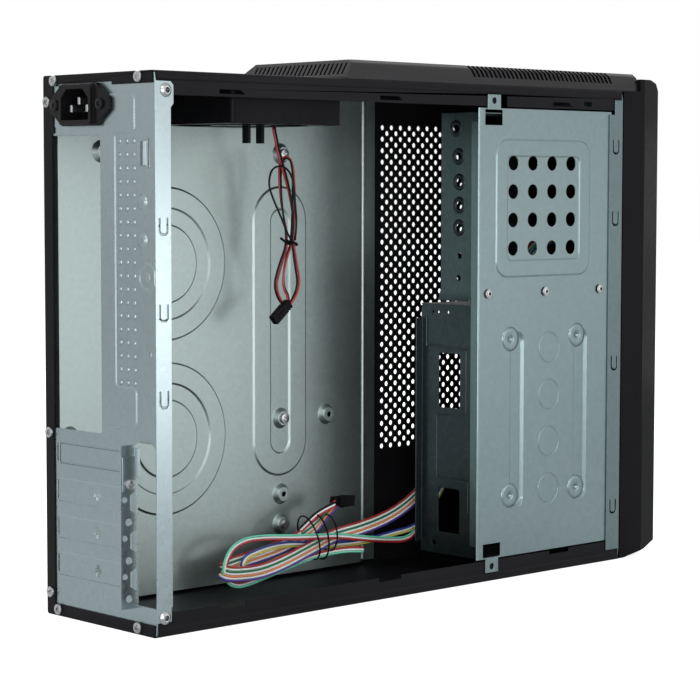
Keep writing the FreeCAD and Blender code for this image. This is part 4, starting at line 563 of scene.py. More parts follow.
def repeat_tree():
    """Puts one shape on every point, turned by the point's own angles and by chance about its axis."""
    tree = bpy.data.node_groups.new("repeat_shape", "GeometryNodeTree")
    for socket, kind in (
        ("Points", "Geometry"), ("Shape", "Object"), ("Seed", "Int"), ("Chance turn", "Float"),
        ("Chance size", "Float"), ("Weld distance", "Float"), ("Finish", "Material"),
    ):
        tree.interface.new_socket(socket, in_out="INPUT", socket_type="NodeSocket" + kind)
    tree.interface.new_socket("Pieces", in_out="OUTPUT", socket_type="NodeSocketGeometry")
    given = tree.nodes.new("NodeGroupInput")
    result = tree.nodes.new("NodeGroupOutput")
    shape = tree.nodes.new("GeometryNodeObjectInfo")
    shape.inputs["As Instance"].default_value = True
    turn = tree.nodes.new("GeometryNodeInputNamedAttribute")
    turn.data_type = "FLOAT_VECTOR"
    turn.inputs["Name"].default_value = "turn"
    angles = tree.nodes.new("FunctionNodeEulerToRotation")
    chance = tree.nodes.new("FunctionNodeRandomValue")
    chance.data_type = "FLOAT"
    own = tree.nodes.new("FunctionNodeAxisAngleToRotation")
    own.inputs["Axis"].default_value = (0, 0, 1)
    both = tree.nodes.new("FunctionNodeRotateRotation")
    both.rotation_space = "LOCAL"
    size = tree.nodes.new("FunctionNodeRandomValue")
    size.data_type = "FLOAT"
    least = worked_out(tree, "SUBTRACT", 1.0, given.outputs["Chance size"])
    most = worked_out(tree, "ADD", 1.0, given.outputs["Chance size"])
    put = tree.nodes.new("GeometryNodeInstanceOnPoints")
    real = tree.nodes.new("GeometryNodeRealizeInstances")
    weld = tree.nodes.new("GeometryNodeMergeByDistance")
    finish = tree.nodes.new("GeometryNodeSetMaterial")
    link = tree.links.new
    link(given.outputs["Shape"], shape.inputs["Object"])
    link(turn.outputs["Attribute"], angles.inputs["Euler"])
    link(given.outputs["Seed"], chance.inputs["Seed"])
    link(given.outputs["Chance turn"], chance.inputs[3])
    link(chance.outputs[1], own.inputs["Angle"])
    link(angles.outputs["Rotation"], both.inputs["Rotation"])
    link(own.outputs["Rotation"], both.inputs["Rotate By"])
    link(given.outputs["Seed"], size.inputs["Seed"])
    link(least, size.inputs[2])
    link(most, size.inputs[3])
    link(given.outputs["Points"], put.inputs["Points"])
    link(shape.outputs["Geometry"], put.inputs["Instance"])
    link(both.outputs["Rotation"], put.inputs["Rotation"])
    link(size.outputs[1], put.inputs["Scale"])
    link(put.outputs["Instances"], real.inputs["Geometry"])
    link(real.outputs["Geometry"], weld.inputs["Geometry"])
    link(given.outputs["Weld distance"], weld.inputs["Distance"])
    link(weld.outputs["Geometry"], finish.inputs["Geometry"])
    link(given.outputs["Finish"], finish.inputs["Material"])
    link(finish.outputs["Geometry"], result.inputs["Pieces"])
    return tree


REPEAT = repeat_tree()


def repeated(name, shape_mesh, places, slot, seed=1, chance_turn=0.0, chance_size=0.0):
    """One piece made of a shape at each (point, turn) pair of places."""
    points = bpy.data.meshes.new(name + "_points")
    points.from_pydata([tuple(point) for point, turn in places], [], [])
    turns = points.attributes.new("turn", "FLOAT_VECTOR", "POINT")
    for index, (point, turn) in enumerate(places):
        turns.data[index].vector = turn
    holder = make_object(name, points)
    shape = make_object(name + "_shape", shape_mesh)
    modifier = holder.modifiers.new("repeat", "NODES")
    modifier.node_group = REPEAT
    values = {
        "Shape": shape, "Seed": seed, "Chance turn": chance_turn, "Chance size": chance_size,
        "Weld distance": WELD, "Finish": FINISHES[slot],
    }
    for socket in REPEAT.interface.items_tree:
        if socket.in_out == "INPUT" and socket.name in values:
            modifier[socket.identifier] = values[socket.name]
    made = settled(holder)
    bpy.data.objects.remove(shape)
    return join_piece(made)


# How a shape whose outside is toward z is turned to face each way
TOWARD = {"-x": (0, -math.pi / 2, 0), "-y": (math.pi / 2, 0, 0), "z": (0, 0, 0)}


def heads(name, way, proud):
    """Where a fastener node's heads sit: the middle of each solid, where its head meets the sheet."""
    axis = "xyz".index(way[-1])
    places = []
    for low, high in loose_parts(name):
        point = (low + high) / 2
        point[axis] = low[axis] + proud if way.startswith("-") else high[axis] - proud
        places.append((point, TOWARD[way]))
    return places


# Fasteners

THREAD = 1.5
THREAD_PITCH = 0.7
ANY_TURN = 6.28
# Each screw: node, radius and height of its head, its length, the way it faces, its slot and its seed
SCREWS = (
    ("rear_screws", 3.0, 1.7, 5.0, "-x", "bright_screw", 3),
    ("slot_cover_screw", 3.0, 1.7, 5.0, "-y", "bright_screw", 5),
    ("tray_screws", 3.0, 1.7, 3.1, "-y", "bright_screw", 8),
    ("inlet_screws", 3.0, 1.7, 7.0, "-x", "dark_screw", 13),
    ("fan_screws", 2.8, 1.6, 8.0, "z", "dark_screw", 21),
)
# Each rivet: node, radius and height of its flange, radius of its bore, and how far its solid stands out
RIVETS = (
    ("cage_rivets", 2.85, 0.9, 1.0, 0.9),
    ("ear_rivets", 3.6, 1.6, 1.5, 1.7),
)


def cross_head(name, radius, height, length):
    """A pan head screw with a cross recess, its head standing on z = 0 and its thread below."""
    bm = bmesh.new()
    steps = 48
    rows = 12
    arm = radius * 0.14
    reach = radius * 0.56
    rings = [[bm.verts.new((0, 0, height * 0.45))]]
    for row in range(1, rows + 1):
        across = radius * 0.93 * row / rows
        ring = []
        for index in range(steps):
            angle = 2 * math.pi * index / steps
            x = across * math.cos(angle)
            y = across * math.sin(angle)
            level = height * (1 - 0.22 * (across / radius) ** 2)
            slim = min(abs(x), abs(y))
            if across < reach and slim < arm * (1.25 - across / reach * 0.6):
                level -= height * 0.55 * (1 - 0.45 * across / reach)
            ring.append(bm.verts.new((x, y, level)))
        rings.append(ring)
    shank = THREAD * MM
    outline = [(radius, height * 0.55), (radius, height * 0.12), (radius * 0.96, 0), (shank, 0)]
    turns = max(2, int(length / (THREAD_PITCH * MM)))
    for step in range(turns):
        outline.append((shank, -length * (step + 0.25) / turns))
        outline.append((shank * 0.82, -length * (step + 0.75) / turns))
    rings += [level_ring(bm, across, level, steps) for across, level in outline]
    for lower, upper in zip(rings, rings[1:]):
        bridged(bm, lower, upper)
    bm.faces.new(rings[-1])
    return sharpen(smooth_mesh(name, bm), 40)


def rivet(name, radius, height, bore):
    """A blind rivet: a domed flange with the mouth of its bore."""
    floor = -1.8
    tail = -2.4
    return sharpen(revolved(name, (
        (0, floor), (bore * 0.9, floor), (bore, height * 0.95), (bore * 1.25, height),
        (radius * 0.62, height * 0.86), (radius * 0.9, height * 0.45), (radius, height * 0.15),
        (radius * 0.98, 0), (bore * 1.2, -0.2), (bore * 1.2, tail), (0, tail),
    ), 40), 50)


def add_fasteners():
    for node, radius, height, length, way, slot, seed in SCREWS:
        shape = cross_head(node + "_shape", radius * MM, height * MM, length * MM)
        made = repeated(
            node + "_finished", shape, heads(node, way, height * MM), slot, seed=seed, chance_turn=ANY_TURN,
        )
        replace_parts(made, node)
    for node, radius, height, bore, proud in RIVETS:
        shape = rivet(node + "_shape", radius, height, bore)
        made = repeated(node + "_finished", shape, heads(node, "-y", proud * MM), "bright_screw")
        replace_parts(made, node)


# Shell with its fine perforation

# First hole, step along x and down z, strips, holes in a full strip, hole radius, middle of the sheet
VENT_FIRST = (255.4, 271.7)
VENT_STEP = (3.925, 7.1)
VENT_STRIPS = 24
VENT_ROWS = 29
VENT_HOLE = 1.6
VENT_LEVEL = 96.6
VENT_HALF_SHEET = 0.4
VENT_LEFT = VENT_FIRST[0] - VENT_STEP[0] / 2
VENT_RIGHT = VENT_LEFT + VENT_STEP[0] * VENT_STRIPS
VENT_HIGH = VENT_FIRST[1] + VENT_STEP[1] / 2
VENT_LOW = VENT_HIGH - VENT_STEP[1] * VENT_ROWS
WINDOW_DEPTH = 4
SHELL_EDGE = 0.22
UNTURNED = (0, 0, 0)


def vent_cell():
    """A plate with one hole, and corners half way up its sides for the next strip."""
    bm = bmesh.new()
    wide = VENT_STEP[0] / 2 * MM
    tall = VENT_STEP[1] / 2 * MM
    half = VENT_HALF_SHEET * MM
    turns = [math.radians(30 * index - 90) for index in range(13)]
    arc = [(VENT_HOLE * MM * math.cos(turn), VENT_HOLE * MM * math.sin(turn)) for turn in turns]
    right = [(0, -tall), (wide, -tall), (wide, 0), (wide, tall), (0, tall)]
    left = [(0, tall), (-wide, tall), (-wide, 0), (-wide, -tall), (0, -tall)]
    for outline in (right + arc[6::-1], left + arc[:5:-1]):
        bm.faces.new([bm.verts.new((x, -half, z)) for x, z in outline])
        bm.faces.new([bm.verts.new((x, half, z)) for x, z in reversed(outline)])
    for (x0, z0), (x1, z1) in zip(arc, arc[1:]):
        wall = ((x0, -half, z0), (x1, -half, z1), (x1, half, z1), (x0, half, z0))
        bm.faces.new([bm.verts.new(corner) for corner in wall])
    bmesh.ops.remove_doubles(bm, verts=bm.verts, dist=WELD)
    return from_bmesh("vent_cell", bm)


def plain_cell():
    """Half a plate without a hole, for the ends of every second strip."""
    bm = bmesh.new()
    wide = VENT_STEP[0] / 2 * MM
    tall = VENT_STEP[1] / 4 * MM
    half = VENT_HALF_SHEET * MM
    corners = ((-wide, -tall), (wide, -tall), (wide, tall), (-wide, tall))
    bm.faces.new([bm.verts.new((x, -half, z)) for x, z in corners])
    bm.faces.new([bm.verts.new((x, half, z)) for x, z in reversed(corners)])
    return from_bmesh("plain_cell", bm)


def vent_places():
    """Where the cells with a hole go, and the plain ones at the ends of every second strip."""
    holes = []
    plains = []
    for strip in range(VENT_STRIPS):
        x = VENT_FIRST[0] + VENT_STEP[0] * strip
        start = VENT_FIRST[1]
        rows = VENT_ROWS
        if strip % 2:
            start -= VENT_STEP[1] / 2
            rows -= 1
            plains.append((at(x, VENT_LEVEL, VENT_HIGH - VENT_STEP[1] / 4), UNTURNED))
            plains.append((at(x, VENT_LEVEL, VENT_LOW + VENT_STEP[1] / 4), UNTURNED))
        holes += [(at(x, VENT_LEVEL, start - VENT_STEP[1] * row), UNTURNED) for row in range(rows)]
    return holes, plains


def add_shell():
    """The shell with a window in the place of its coarse packed holes."""
    shell = make_object("outer_shell_finished", from_bmesh("shell", welded(frame["nodes"]["outer_shell"])))
    window = bmesh.new()
    bmesh.ops.create_cube(window, size=1.0)
    middle = at((VENT_LEFT + VENT_RIGHT) / 2, VENT_LEVEL, (VENT_LOW + VENT_HIGH) / 2)
    size = Vector(((VENT_RIGHT - VENT_LEFT) * MM, WINDOW_DEPTH * MM, (VENT_HIGH - VENT_LOW) * MM))
    for vertex in window.verts:
        vertex.co = Vector([vertex.co[axis] * size[axis] + middle[axis] for axis in range(3)])
    tool = make_object("vent_window", from_bmesh("vent_window", window))
    cut = shell.modifiers.new("window", "BOOLEAN")
    cut.operation = "DIFFERENCE"
    cut.solver = "EXACT"
    cut.object = tool
    soften_edges(shell, SHELL_EDGE * MM)
    shell = settled(shell)
    bpy.data.objects.remove(tool)
    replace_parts(finished(shell, "black_steel"), "outer_shell")


def add_perforation():
    """The fine perforation that fills the window, joined from its cells and closed round its rim."""
    holes, plains = vent_places()
    bm = bmesh.new()
    for part in (
        repeated("vent_field", vent_cell(), holes, "black_steel"),
        repeated("vent_ends", plain_cell(), plains, "black_steel"),
    ):
        bm.from_mesh(part.data)
        bpy.data.objects.remove(part)
    bmesh.ops.remove_doubles(bm, verts=bm.verts, dist=2 * WELD)
    middle = at(0, VENT_LEVEL, 0).y
    far_side = {}
    for vertex in bm.verts:
        if vertex.co.y > middle:
            far_side[round(vertex.co.x, 6), round(vertex.co.z, 6)] = vertex
    rim = [edge for edge in bm.edges if len(edge.link_faces) == 1 and edge.verts[0].co.y < middle]
    for edge in rim:
        first, last = edge.verts
        far_first = far_side.get((round(first.co.x, 6), round(first.co.z, 6)))
        far_last = far_side.get((round(last.co.x, 6), round(last.co.z, 6)))
        if far_first and far_last:
            bm.faces.new((first, last, far_last, far_first))
    bmesh.ops.recalc_face_normals(bm, faces=bm.faces)
    finished(make_object("shell_perforation", from_bmesh("shell_perforation", bm)), "black_steel")


# Small pressed forms

# Profiles are pairs of radius and height in mm. The rim's radii are in radii of its bore
DOT = ((0, 0.8), (0.55, 0.7), (1.1, 0.4), (1.5, 0), (1.5, -0.1), (0, -0.1))
DOT_COLUMNS = (30.0, 24.0, 18.0)
DOT_ROWS = 19
DOT_TOP = 258.8
DOT_PITCH = 7.03
RIM_BORE = 2.4
RIM = ((1.0, 0.0), (1.12, 0.35), (1.35, 0.42), (1.75, 0.22), (2.1, 0.0), (2.0, -0.1), (1.0, -0.1))
# The disk bracket's holes: how far each lies from the column's line, and its level
RIM_COLUMN = (243.3, 18.0)
RIM_PLACES = ((3.0, 269.8), (0.8, 253.2), (0.0, 238.0), (0.0, 224.3), (0.0, 211.0))
DIMPLE = (
    (0, -1.2), (1.3, -1.2), (1.3, 0.05), (3.2, 0.08), (4.4, 0.16), (5.6, 0.14), (7.4, 0), (7.0, -1.5),
    (0, -1.5),
)
DIMPLE_COLUMNS = (270.2, 330.0)
DIMPLE_LEVELS = (50.0, 144.3)
SHEET = 0.8
# The tray's bead: its middle, half its width, its height, and its lower and upper ends
BEAD_MIDDLE = (237.3, 95.3)
BEAD_HALF_WIDTH = 1.8
BEAD_HEIGHT = 1.9
BEAD_ENDS = (4.0, 294.0)


def add_rear_dots():
    places = []
    for row in range(DOT_ROWS):
        for across in DOT_COLUMNS:
            places.append((at(SHEET, across, DOT_TOP - DOT_PITCH * row), TOWARD["-x"]))
    repeated("rear_panel_dots", revolved("dot", DOT, 16), places, "zinc_rear", seed=2, chance_size=0.08)


def add_bracket_rims():
    """Dished rims round the disk bracket's screw holes."""
    bm = bmesh.new()
    rows = [level_ring(bm, across * RIM_BORE * MM, height * MM, 28) for across, height in RIM]
    for lower, upper in zip(rows, rows[1:] + rows[:1]):
        bridged(bm, lower, upper)
    x, y = RIM_COLUMN
    places = [(at(x, y + across, level), TOWARD["-x"]) for across, level in RIM_PLACES]
    # The rims take the darker zinc, painted shade.
    repeated("disk_bracket_rims", smooth_mesh("collar", bm), places, "zinc_dark")


def add_cage_dimples():
    places = []
    for across in DIMPLE_COLUMNS:
        places += [(at(across, SHEET, level), TOWARD["-y"]) for level in DIMPLE_LEVELS]
    repeated("cage_plate_dimples", revolved("dimple", DIMPLE, 32), places, "zinc_cage")


def add_tray_bead():
    """The half round bead that stiffens the tray along its front edge."""
    bm = bmesh.new()
    steps = 10
    rings = []
    for level in BEAD_ENDS:
        ring = []
        for index in range(steps + 1):
            turn = math.pi * index / steps
            x = BEAD_MIDDLE[0] - BEAD_HALF_WIDTH * math.cos(turn)
            y = BEAD_MIDDLE[1] - BEAD_HEIGHT * math.sin(turn)
            ring.append(bm.verts.new(at(x, y, level)))
        rings.append(ring)
    low, high = rings
    bridged(bm, low, high)
    bm.faces.new(low)
    bm.faces.new(high[::-1])
    finished(make_object("tray_front_bead", sharpen(smooth_mesh("tray_front_bead", bm), 40)), "zinc_tray")


# Cords

LINE_STEPS = 14
WIRE_STEP = 1.3 * MM
WIRE_RADIUS = 0.62 * MM
SIDE_WIRE_RADIUS = 0.6 * MM
# How often the fan's two wires go round each other
LEAD_TURNS = 2.0
# How a ribbon's wires close up at its plugs: half the gap between two layers, how much narrower the
# row gets, the number of frames before its end, and the share of them over which it does
LAYER_GAP = 0.9 * MM
GATHERED = 0.45
GATHER_FRAMES = 30
GATHERING_SHARE = 0.7


def smooth_line(name, route):
    """Points read from the NURBS spline whose control points are the route's points, in metres."""
    curve = bpy.data.curves.new(name, "CURVE")
    curve.dimensions = "3D"
    spline = curve.splines.new("NURBS")
    spline.points.add(len(route) - 1)
    for control, place in zip(spline.points, route):
        control.co = (*at(*place), 1.0)
    spline.order_u = 3
    spline.use_endpoint_u = True
    spline.resolution_u = LINE_STEPS
    holder = make_object(name, curve)
    bpy.context.view_layer.update()
    graph = bpy.context.evaluated_depsgraph_get()
    mesh = bpy.data.meshes.new_from_object(holder.evaluated_get(graph))
    line = [vertex.co.copy() for vertex in mesh.vertices]
    bpy.data.objects.remove(holder)
    bpy.data.meshes.remove(mesh)
    return line


def tube(bm, stations, radius, slot_index, steps=10):
    """A round wire through (middle, across, up) stations, closed at both ends."""
    rings = [ring_round(bm, centre, across, up, radius, steps) for centre, across, up in stations]
    for lower, upper in zip(rings, rings[1:]):
        for face in bridged(bm, lower, upper):
            face.material_index = slot_index
            face.smooth = True
    for ring in (rings[0], rings[-1]):
        bm.faces.new(ring).material_index = slot_index


def way_along(line, index):
    """The way that a line runs at one of its points."""
    return (line[min(index + 1, len(line) - 1)] - line[max(index - 1, 0)]).normalized()


def carried_frames(line, turns):
    """Frames whose width way stays in the open side's plane, carried over where the cord runs into it."""
    lengths = [0.0]
    for before, after in zip(line, line[1:]):
        lengths.append(lengths[-1] + (after - before).length)
    inward = Vector((0, 1, 0))
    made = []
    across = None
    for index, place in enumerate(line):
        along = way_along(line, index)
        side = along.cross(inward)
        if across is None:
            across = side.normalized()
        elif side.length > 0.5:
            side.normalize()
            across = side if side.dot(across) >= 0 else -side
        across = (across - along * across.dot(along)).normalized()
        turn = Matrix.Rotation(2 * math.pi * turns * lengths[index] / lengths[-1], 3, along)
        shown = turn @ across
        made.append((place, shown, along.cross(shown)))
    return made


def strands(name, line, colours, turns=0.0, radius=WIRE_RADIUS, gather=0):
    """A cord of wires side by side, which go round each other as often as turns says.

    Over the last frames, as many as gather says, the wires close up into two layers that enter the plugs.
    """
    frames = carried_frames(line, turns)
    finishes = list(dict.fromkeys(colours))
    middle = (len(colours) - 1) / 2
    bm = bmesh.new()
    for number, colour in enumerate(colours):
        across_by = (number - middle) * WIRE_STEP
        layer = LAYER_GAP if number % 2 else -LAYER_GAP
        stations = []
        for index, (place, across, up) in enumerate(frames):
            closing = 0.0
            if gather:
                closing = min(max((index - len(frames) + gather) / (gather * GATHERING_SHARE), 0.0), 1.0)
            offset = across * across_by * (1 - GATHERED * closing) + up * (layer * closing)
            stations.append((place + offset, across, up))
        tube(bm, stations, radius, finishes.index(colour))
    bmesh.ops.recalc_face_normals(bm, faces=bm.faces)
    made = make_object(name, from_bmesh(name, bm))
    for finish in finishes:
        made.data.materials.append(WIRE[finish])
    return join_piece(made)


# Control points of the cords in mm, from the shell's rear, near, bottom corner
FAN_ROUTE = (
    (134.0, 60.0, 269.2), (138.0, 60.4, 254.0), (143.5, 60.8, 242.0), (148.2, 61.2, 228.0),
    (150.4, 61.4, 215.0), (149.7, 61.5, 203.0), (152.6, 61.8, 190.0), (156.4, 62.8, 176.5),
    (148.0, 65.2, 163.0), (138.0, 64.4, 176.0), (141.6, 63.8, 189.0), (148.2, 63.5, 203.0),
    (144.0, 64.2, 222.0), (142.8, 64.8, 238.0), (143.4, 65.2, 246.5), (145.6, 65.4, 252.0),
    (151.0, 65.4, 252.0), (153.2, 65.2, 246.5), (153.6, 64.8, 238.0),
    (152.8, 64.0, 222.0), (150.2, 62.6, 203.0), (144.2, 61.6, 192.0), (141.8, 61.0, 182.0),
    (142.8, 61.0, 175.6), (146.4, 61.0, 171.6), (145.4, 61.0, 166.8),
)
SIDE_LOOP = (
    (149.2, 60.6, 203.0), (144.8, 60.2, 207.5), (139.3, 59.6, 217.6), (132.8, 59.4, 228.3),
    (129.2, 59.4, 237.0), (132.4, 59.6, 246.4), (142.6, 59.8, 247.2), (149.2, 60.2, 240.0),
    (150.4, 60.0, 226.0), (152.0, 60.2, 213.0), (150.6, 60.4, 204.0),
)
SHARED_ROUTE = (
    (388.0, 52.0, 205.0), (374.0, 52.0, 205.0), (360.0, 57.0, 201.0), (349.0, 62.0, 190.0),
    (341.5, 65.5, 172.0), (336.0, 67.0, 148.0), (328.0, 68.0, 120.0), (314.0, 68.0, 92.0),
    (292.0, 68.0, 69.0),
)
WIDE_ROUTE = (
    (272.0, 67.0, 54.0), (256.0, 64.5, 45.5), (243.0, 64.0, 38.8), (231.0, 64.5, 34.2),
    (218.0, 65.0, 31.0), (204.0, 65.5, 28.7), (193.0, 66.0, 27.6), (183.5, 66.0, 26.1),
    (174.1, 66.0, 23.1), (163.5, 65.5, 20.3), (150.3, 64.5, 16.8), (137.3, 64.0, 13.9),
    (125.8, 64.0, 12.3), (114.4, 64.4, 12.4), (104.5, 65.0, 13.2), (102.5, 70.0, 14.6),
    (108.0, 74.2, 16.0), (125.0, 74.0, 18.5), (148.0, 73.6, 22.0), (166.0, 72.4, 27.0),
    (178.0, 70.4, 34.5), (184.0, 68.2, 42.0), (190.6, 67.0, 47.2),
)
LOOP_ROUTE = (
    (274.0, 65.5, 50.0), (262.0, 65.0, 34.0), (253.0, 64.5, 21.0), (243.0, 64.0, 18.6),
    (232.0, 63.0, 19.9), (217.9, 62.0, 21.8), (200.3, 61.4, 24.8), (186.6, 61.6, 27.3),
    (170.5, 61.9, 28.5), (155.5, 63.0, 29.5), (143.4, 64.4, 30.6), (132.2, 66.0, 31.6),
    (120.0, 67.6, 31.6), (110.5, 68.2, 28.5), (105.2, 68.2, 22.5), (103.0, 68.2, 15.5),
    (105.5, 67.8, 8.5), (112.0, 67.4, 5.4), (121.0, 67.2, 6.0), (134.0, 67.6, 8.5),
    (150.0, 68.6, 11.5), (170.0, 68.6, 15.5), (188.0, 64.5, 18.0), (199.0, 61.5, 18.0),
    (206.0, 60.5, 17.0),
)
INNER_ROUTE = (
    (276.0, 64.0, 46.0), (262.0, 64.0, 32.0), (252.5, 64.2, 25.2), (236.7, 65.0, 23.6),
    (224.4, 66.0, 22.0), (213.3, 67.2, 20.5), (200.4, 68.6, 20.2), (187.7, 69.4, 20.6),
    (175.1, 69.9, 22.5), (161.8, 70.0, 24.0), (151.2, 70.0, 25.1), (139.5, 70.0, 24.6),
    (129.2, 70.0, 22.9), (120.5, 70.0, 20.6), (118.0, 70.1, 15.6), (122.5, 70.3, 11.2),
    (134.0, 70.6, 13.0), (150.0, 71.2, 17.0), (168.0, 71.6, 20.0), (180.0, 71.6, 22.0),
)
PLUG_ROUTE = (
    (160.0, 66.0, 33.0), (166.0, 66.0, 37.0), (172.0, 66.0, 40.6), (177.0, 66.0, 42.6),
    (183.5, 66.0, 44.6), (189.5, 66.0, 46.0),
)
# How far each ribbon lies in front of the one behind it
RIBBON_GAP = 1.6
# Each plug: its length, width, depth and ways
FAN_PLUG = (15.6, 5.6, 4.2, 2)
FAN_PLUG_AT = (134.4, 61.0, 158.0)
FAN_PLUG_LEAN = -40
RIBBON_PLUG = (10.4, 6.4, 2.5, 3)
RIBBON_PLUG_AT = (199.5, 62.6, 47.2)
RIBBON_PLUG_STEP = (1.4, 2.9, 0.7)
RIBBON_PLUG_LEAN = -6
RIBBON_PLUG_FAN = 2
# The tie of the fan's lead: name, middle, half its height, half its depth and its lean
FAN_TIE = ("fan_lead_tie_finished", (149.6, 62.6, 202.6), 1.2, 3.4, 3.4)
FAN_TIE_WIRE = 0.75
FAN_TIE_TAIL = ((147.0, 59.8, 202.0), (144.0, 59.2, 202.4), (141.0, 59.0, 204.0), (138.4, 59.0, 205.6))
# The ties of the hank, in the same way
HANK_TIES = (
    ("hank_tie_rear", (167.4, 67.0, 27.6), 13.4, 8.6, 4.4),
    ("hank_tie_mid", (175.4, 67.0, 27.4), 13.6, 8.6, 2.4),
    ("hank_tie_front", (182.6, 67.0, 29.0), 11.0, 8.4, 0.8),
)
HANK_TIE_WIRE = 0.5
PLUG_EDGE = 0.15


def off_by(route, depth):
    """The same route nearer to the open side."""
    return tuple((x, y - depth, z) for x, y, z in route)


def wire_ring(name, centre, across, depth, lean, radius, slot, tail=()):
    """A thin tie round a bundle: a leaning oval of wire, with its tail."""
    steps = 40
    around = 8
    bm = bmesh.new()
    line = []
    for index in range(steps):
        turn = 2 * math.pi * index / steps
        line.append(at(
            centre[0] - lean * math.sin(turn), centre[1] + depth * math.cos(turn),
            centre[2] + across * math.sin(turn),
        ))
    rings = []
    for index, place in enumerate(line):
        along = (line[(index + 1) % steps] - line[index - 1]).normalized()
        side = along.cross(Vector((1, 0, 0))).normalized()
        rings.append(ring_round(bm, place, side, along.cross(side), radius * MM, around))
    for lower, upper in zip(rings, rings[1:] + rings[:1]):
        for face in bridged(bm, lower, upper):
            face.smooth = True
    if tail:
        stations = []
        points = [at(*place) for place in tail]
        for index, place in enumerate(points):
            along = way_along(points, index)
            side = along.cross(Vector((0.3, 1, 0.2))).normalized()
            stations.append((place, side, along.cross(side)))
        tube(bm, stations, radius * MM, 0, around)
    bmesh.ops.recalc_face_normals(bm, faces=bm.faces)
    return finished(make_object(name, from_bmesh(name, bm)), slot)


def housing(name, length, width, depth, ways, latch=True):
    """A small plug housing along x: its wires enter at the far end, its mouths are at x = 0."""
    bm = bmesh.new()

    def block(x0, x1, y0, y1, z0, z1):
        corners = []
        for x in (x0, x1):
            for y in (y0, y1):
                corners += [bm.verts.new((x * MM, y * MM, z * MM)) for z in (z0, z1)]
        for face in (
            (0, 1, 3, 2), (4, 6, 7, 5), (0, 4, 5, 1), (2, 3, 7, 6), (0, 2, 6, 4), (1, 5, 7, 3),
        ):
            bm.faces.new([corners[index] for index in face])

    half = width / 2
    deep = depth / 2
    rim = 0.5
    mouth = 2.2
    block(mouth, length * 0.72, -deep, deep, -half, half)
    block(length * 0.72, length, -deep * 0.86, deep * 0.86, -half * 0.9, half * 0.9)
    block(0, mouth, -deep, -deep + rim, -half, half)
    block(0, mouth, deep - rim, deep, -half, half)
    for way in range(ways + 1):
        level = -half + (width - rim) * way / ways
        block(0, mouth, -deep + rim, deep - rim, level, level + rim)
    if latch:
        block(length * 0.2, length * 0.6, -deep - 0.6, -deep, -half * 0.35, half * 0.35)
        block(length * 0.78, length * 0.84, -deep, deep, -half, half)
        block(length * 0.9, length * 0.95, -deep, deep, -half, half)
    bmesh.ops.recalc_face_normals(bm, faces=bm.faces)
    return from_bmesh(name, bm)


def flattened(shapes, slot):
    """Bakes the place and turn of some small pieces into one mesh with slightly round edges."""
    bm = bmesh.new()
    bpy.context.view_layer.update()
    name = shapes[0].name
    for shape in shapes:
        mesh = shape.data.copy()
        mesh.transform(shape.matrix_world)
        bm.from_mesh(mesh)
        bpy.data.meshes.remove(mesh)
    for shape in shapes:
        bpy.data.objects.remove(shape)
    piece = make_object(name, from_bmesh(name, bm))
    soften_edges(piece, PLUG_EDGE * MM)
    return finished(settled(piece), slot)


def add_fan_lead():
    """The fan's twisted pair with its plug and tie, and the single wire that loops beside it."""
    lead_line = smooth_line("fan_lead_route", FAN_ROUTE)
    lead = strands("fan_lead_wires", lead_line, ("red", "black"), turns=LEAD_TURNS)
    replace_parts(lead, "fan_lead")
    plug = make_object("fan_plug_finished", housing("fan_plug", *FAN_PLUG))
    plug.location = at(*FAN_PLUG_AT)
    plug.rotation_euler = Euler((0, math.radians(FAN_PLUG_LEAN), 0))
    plug = flattened([plug], "black_plastic")
    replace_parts(plug, "fan_plug")
    tie = wire_ring(*FAN_TIE, FAN_TIE_WIRE, "black_plastic", FAN_TIE_TAIL)
    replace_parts(tie, "fan_lead_tie")
    side_line = smooth_line("side_loop_route", SIDE_LOOP)
    side = strands("fan_lead_side_loop", side_line, ("black",), radius=SIDE_WIRE_RADIUS)


def ribbon_plugs():
    """Three flat plugs in a stack, each a little behind and below the one before it."""
    x, y, z = RIBBON_PLUG_AT
    back, inward, down = RIBBON_PLUG_STEP
    shapes = []
    for index in range(3):
        shape = make_object(f"plug_{index}", housing(f"plug_{index}", *RIBBON_PLUG, latch=index == 0))
        shape.location = at(x - index * back, y + index * inward, z - index * down)
        lean = math.radians(RIBBON_PLUG_LEAN - RIBBON_PLUG_FAN * index)
        shape.rotation_euler = Euler((0, lean, math.pi))
        shapes.append(shape)
    plugs = flattened(shapes, "black_plastic")
    plugs.name = "cable_plugs_finished"
    return plugs


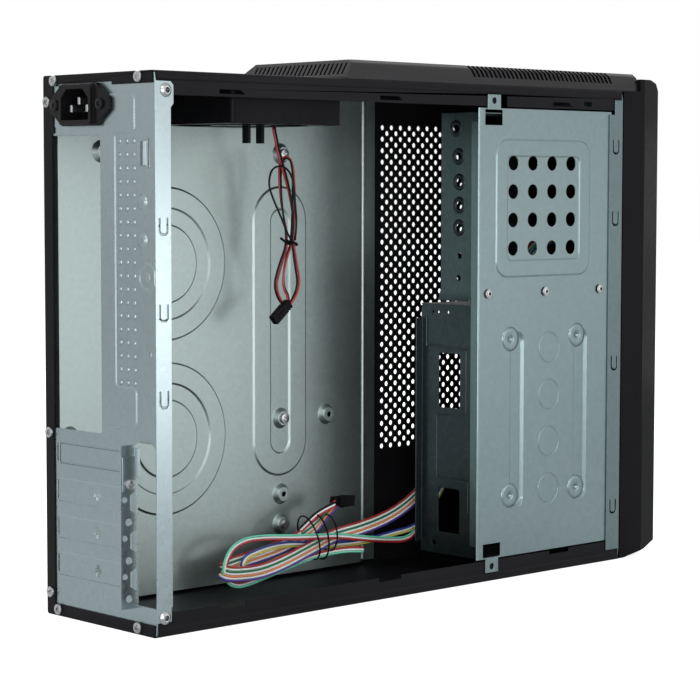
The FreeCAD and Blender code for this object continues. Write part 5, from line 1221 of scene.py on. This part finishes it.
def add_front_ribbons():
    """The three ribbons from the front, folded into a hank with ties and plugs."""
    wide_line = smooth_line("wide_ribbon_route", SHARED_ROUTE + WIDE_ROUTE)
    wide = strands(
        "front_ribbon_wide", wide_line, ("red", "white", "green", "white", "orange", "white", "purple"),
        gather=GATHER_FRAMES,
    )
    loop_line = smooth_line("loop_ribbon_route", off_by(SHARED_ROUTE, RIBBON_GAP) + LOOP_ROUTE)
    loop = strands("front_ribbon_loop", loop_line, ("mint", "white", "red"))
    inner_line = smooth_line("inner_ribbon_route", off_by(SHARED_ROUTE, 2 * RIBBON_GAP) + INNER_ROUTE)
    inner = strands("front_ribbon_inner", inner_line, ("blue", "white", "yellow"))
    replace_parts(wide, "front_cable")
    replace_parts(loop, "cable_hank")
    plug_line = smooth_line("plug_wire_route", PLUG_ROUTE)
    plug_wires = strands("plug_wires", plug_line, ("red", "white", "black"))
    plugs = ribbon_plugs()
    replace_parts(plugs, "cable_plugs")
    ties = [wire_ring(*tie, HANK_TIE_WIRE, "black_plastic") for tie in HANK_TIES]
    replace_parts(ties[0], "cable_ties")


# How far the edges of each piece are rounded, in mm
ROUNDED = {
    "rear_panel": 0.20, "slot_cover": 0.20, "motherboard_tray": 0.20, "drive_cage_plate": 0.20,
    "disk_bracket": 0.20, "optical_bracket": 0.18, "front_frame": 0.22, "front_bezel": 0.30,
    "front_face": 0.45, "drive_cover": 0.35, "top_cover": 0.22, "fan_frame": 0.25, "fan_rotor": 0.20,
    "ac_inlet": 0.25, "inlet_pins": 0.35, "power_button": 0.15, "reset_button": 0.15,
    "front_io_board": 0.15, "button_switches": 0.15, "usb_sockets": 0.12, "audio_sockets": 0.15,
    "led_lens": 0.12,
}
# Pieces that follow a body that moves
RIDERS = {"fan_rotor": "rotor", "power_button": "power_key", "reset_button": "reset_key"}


set_camera()
set_stage()
for name, width in ROUNDED.items():
    refined(name, width * MM)
add_shell()
add_perforation()
add_fasteners()
add_rear_dots()
add_bracket_rims()
add_cage_dimples()
add_tray_bead()
add_fan_lead()
add_front_ribbons()
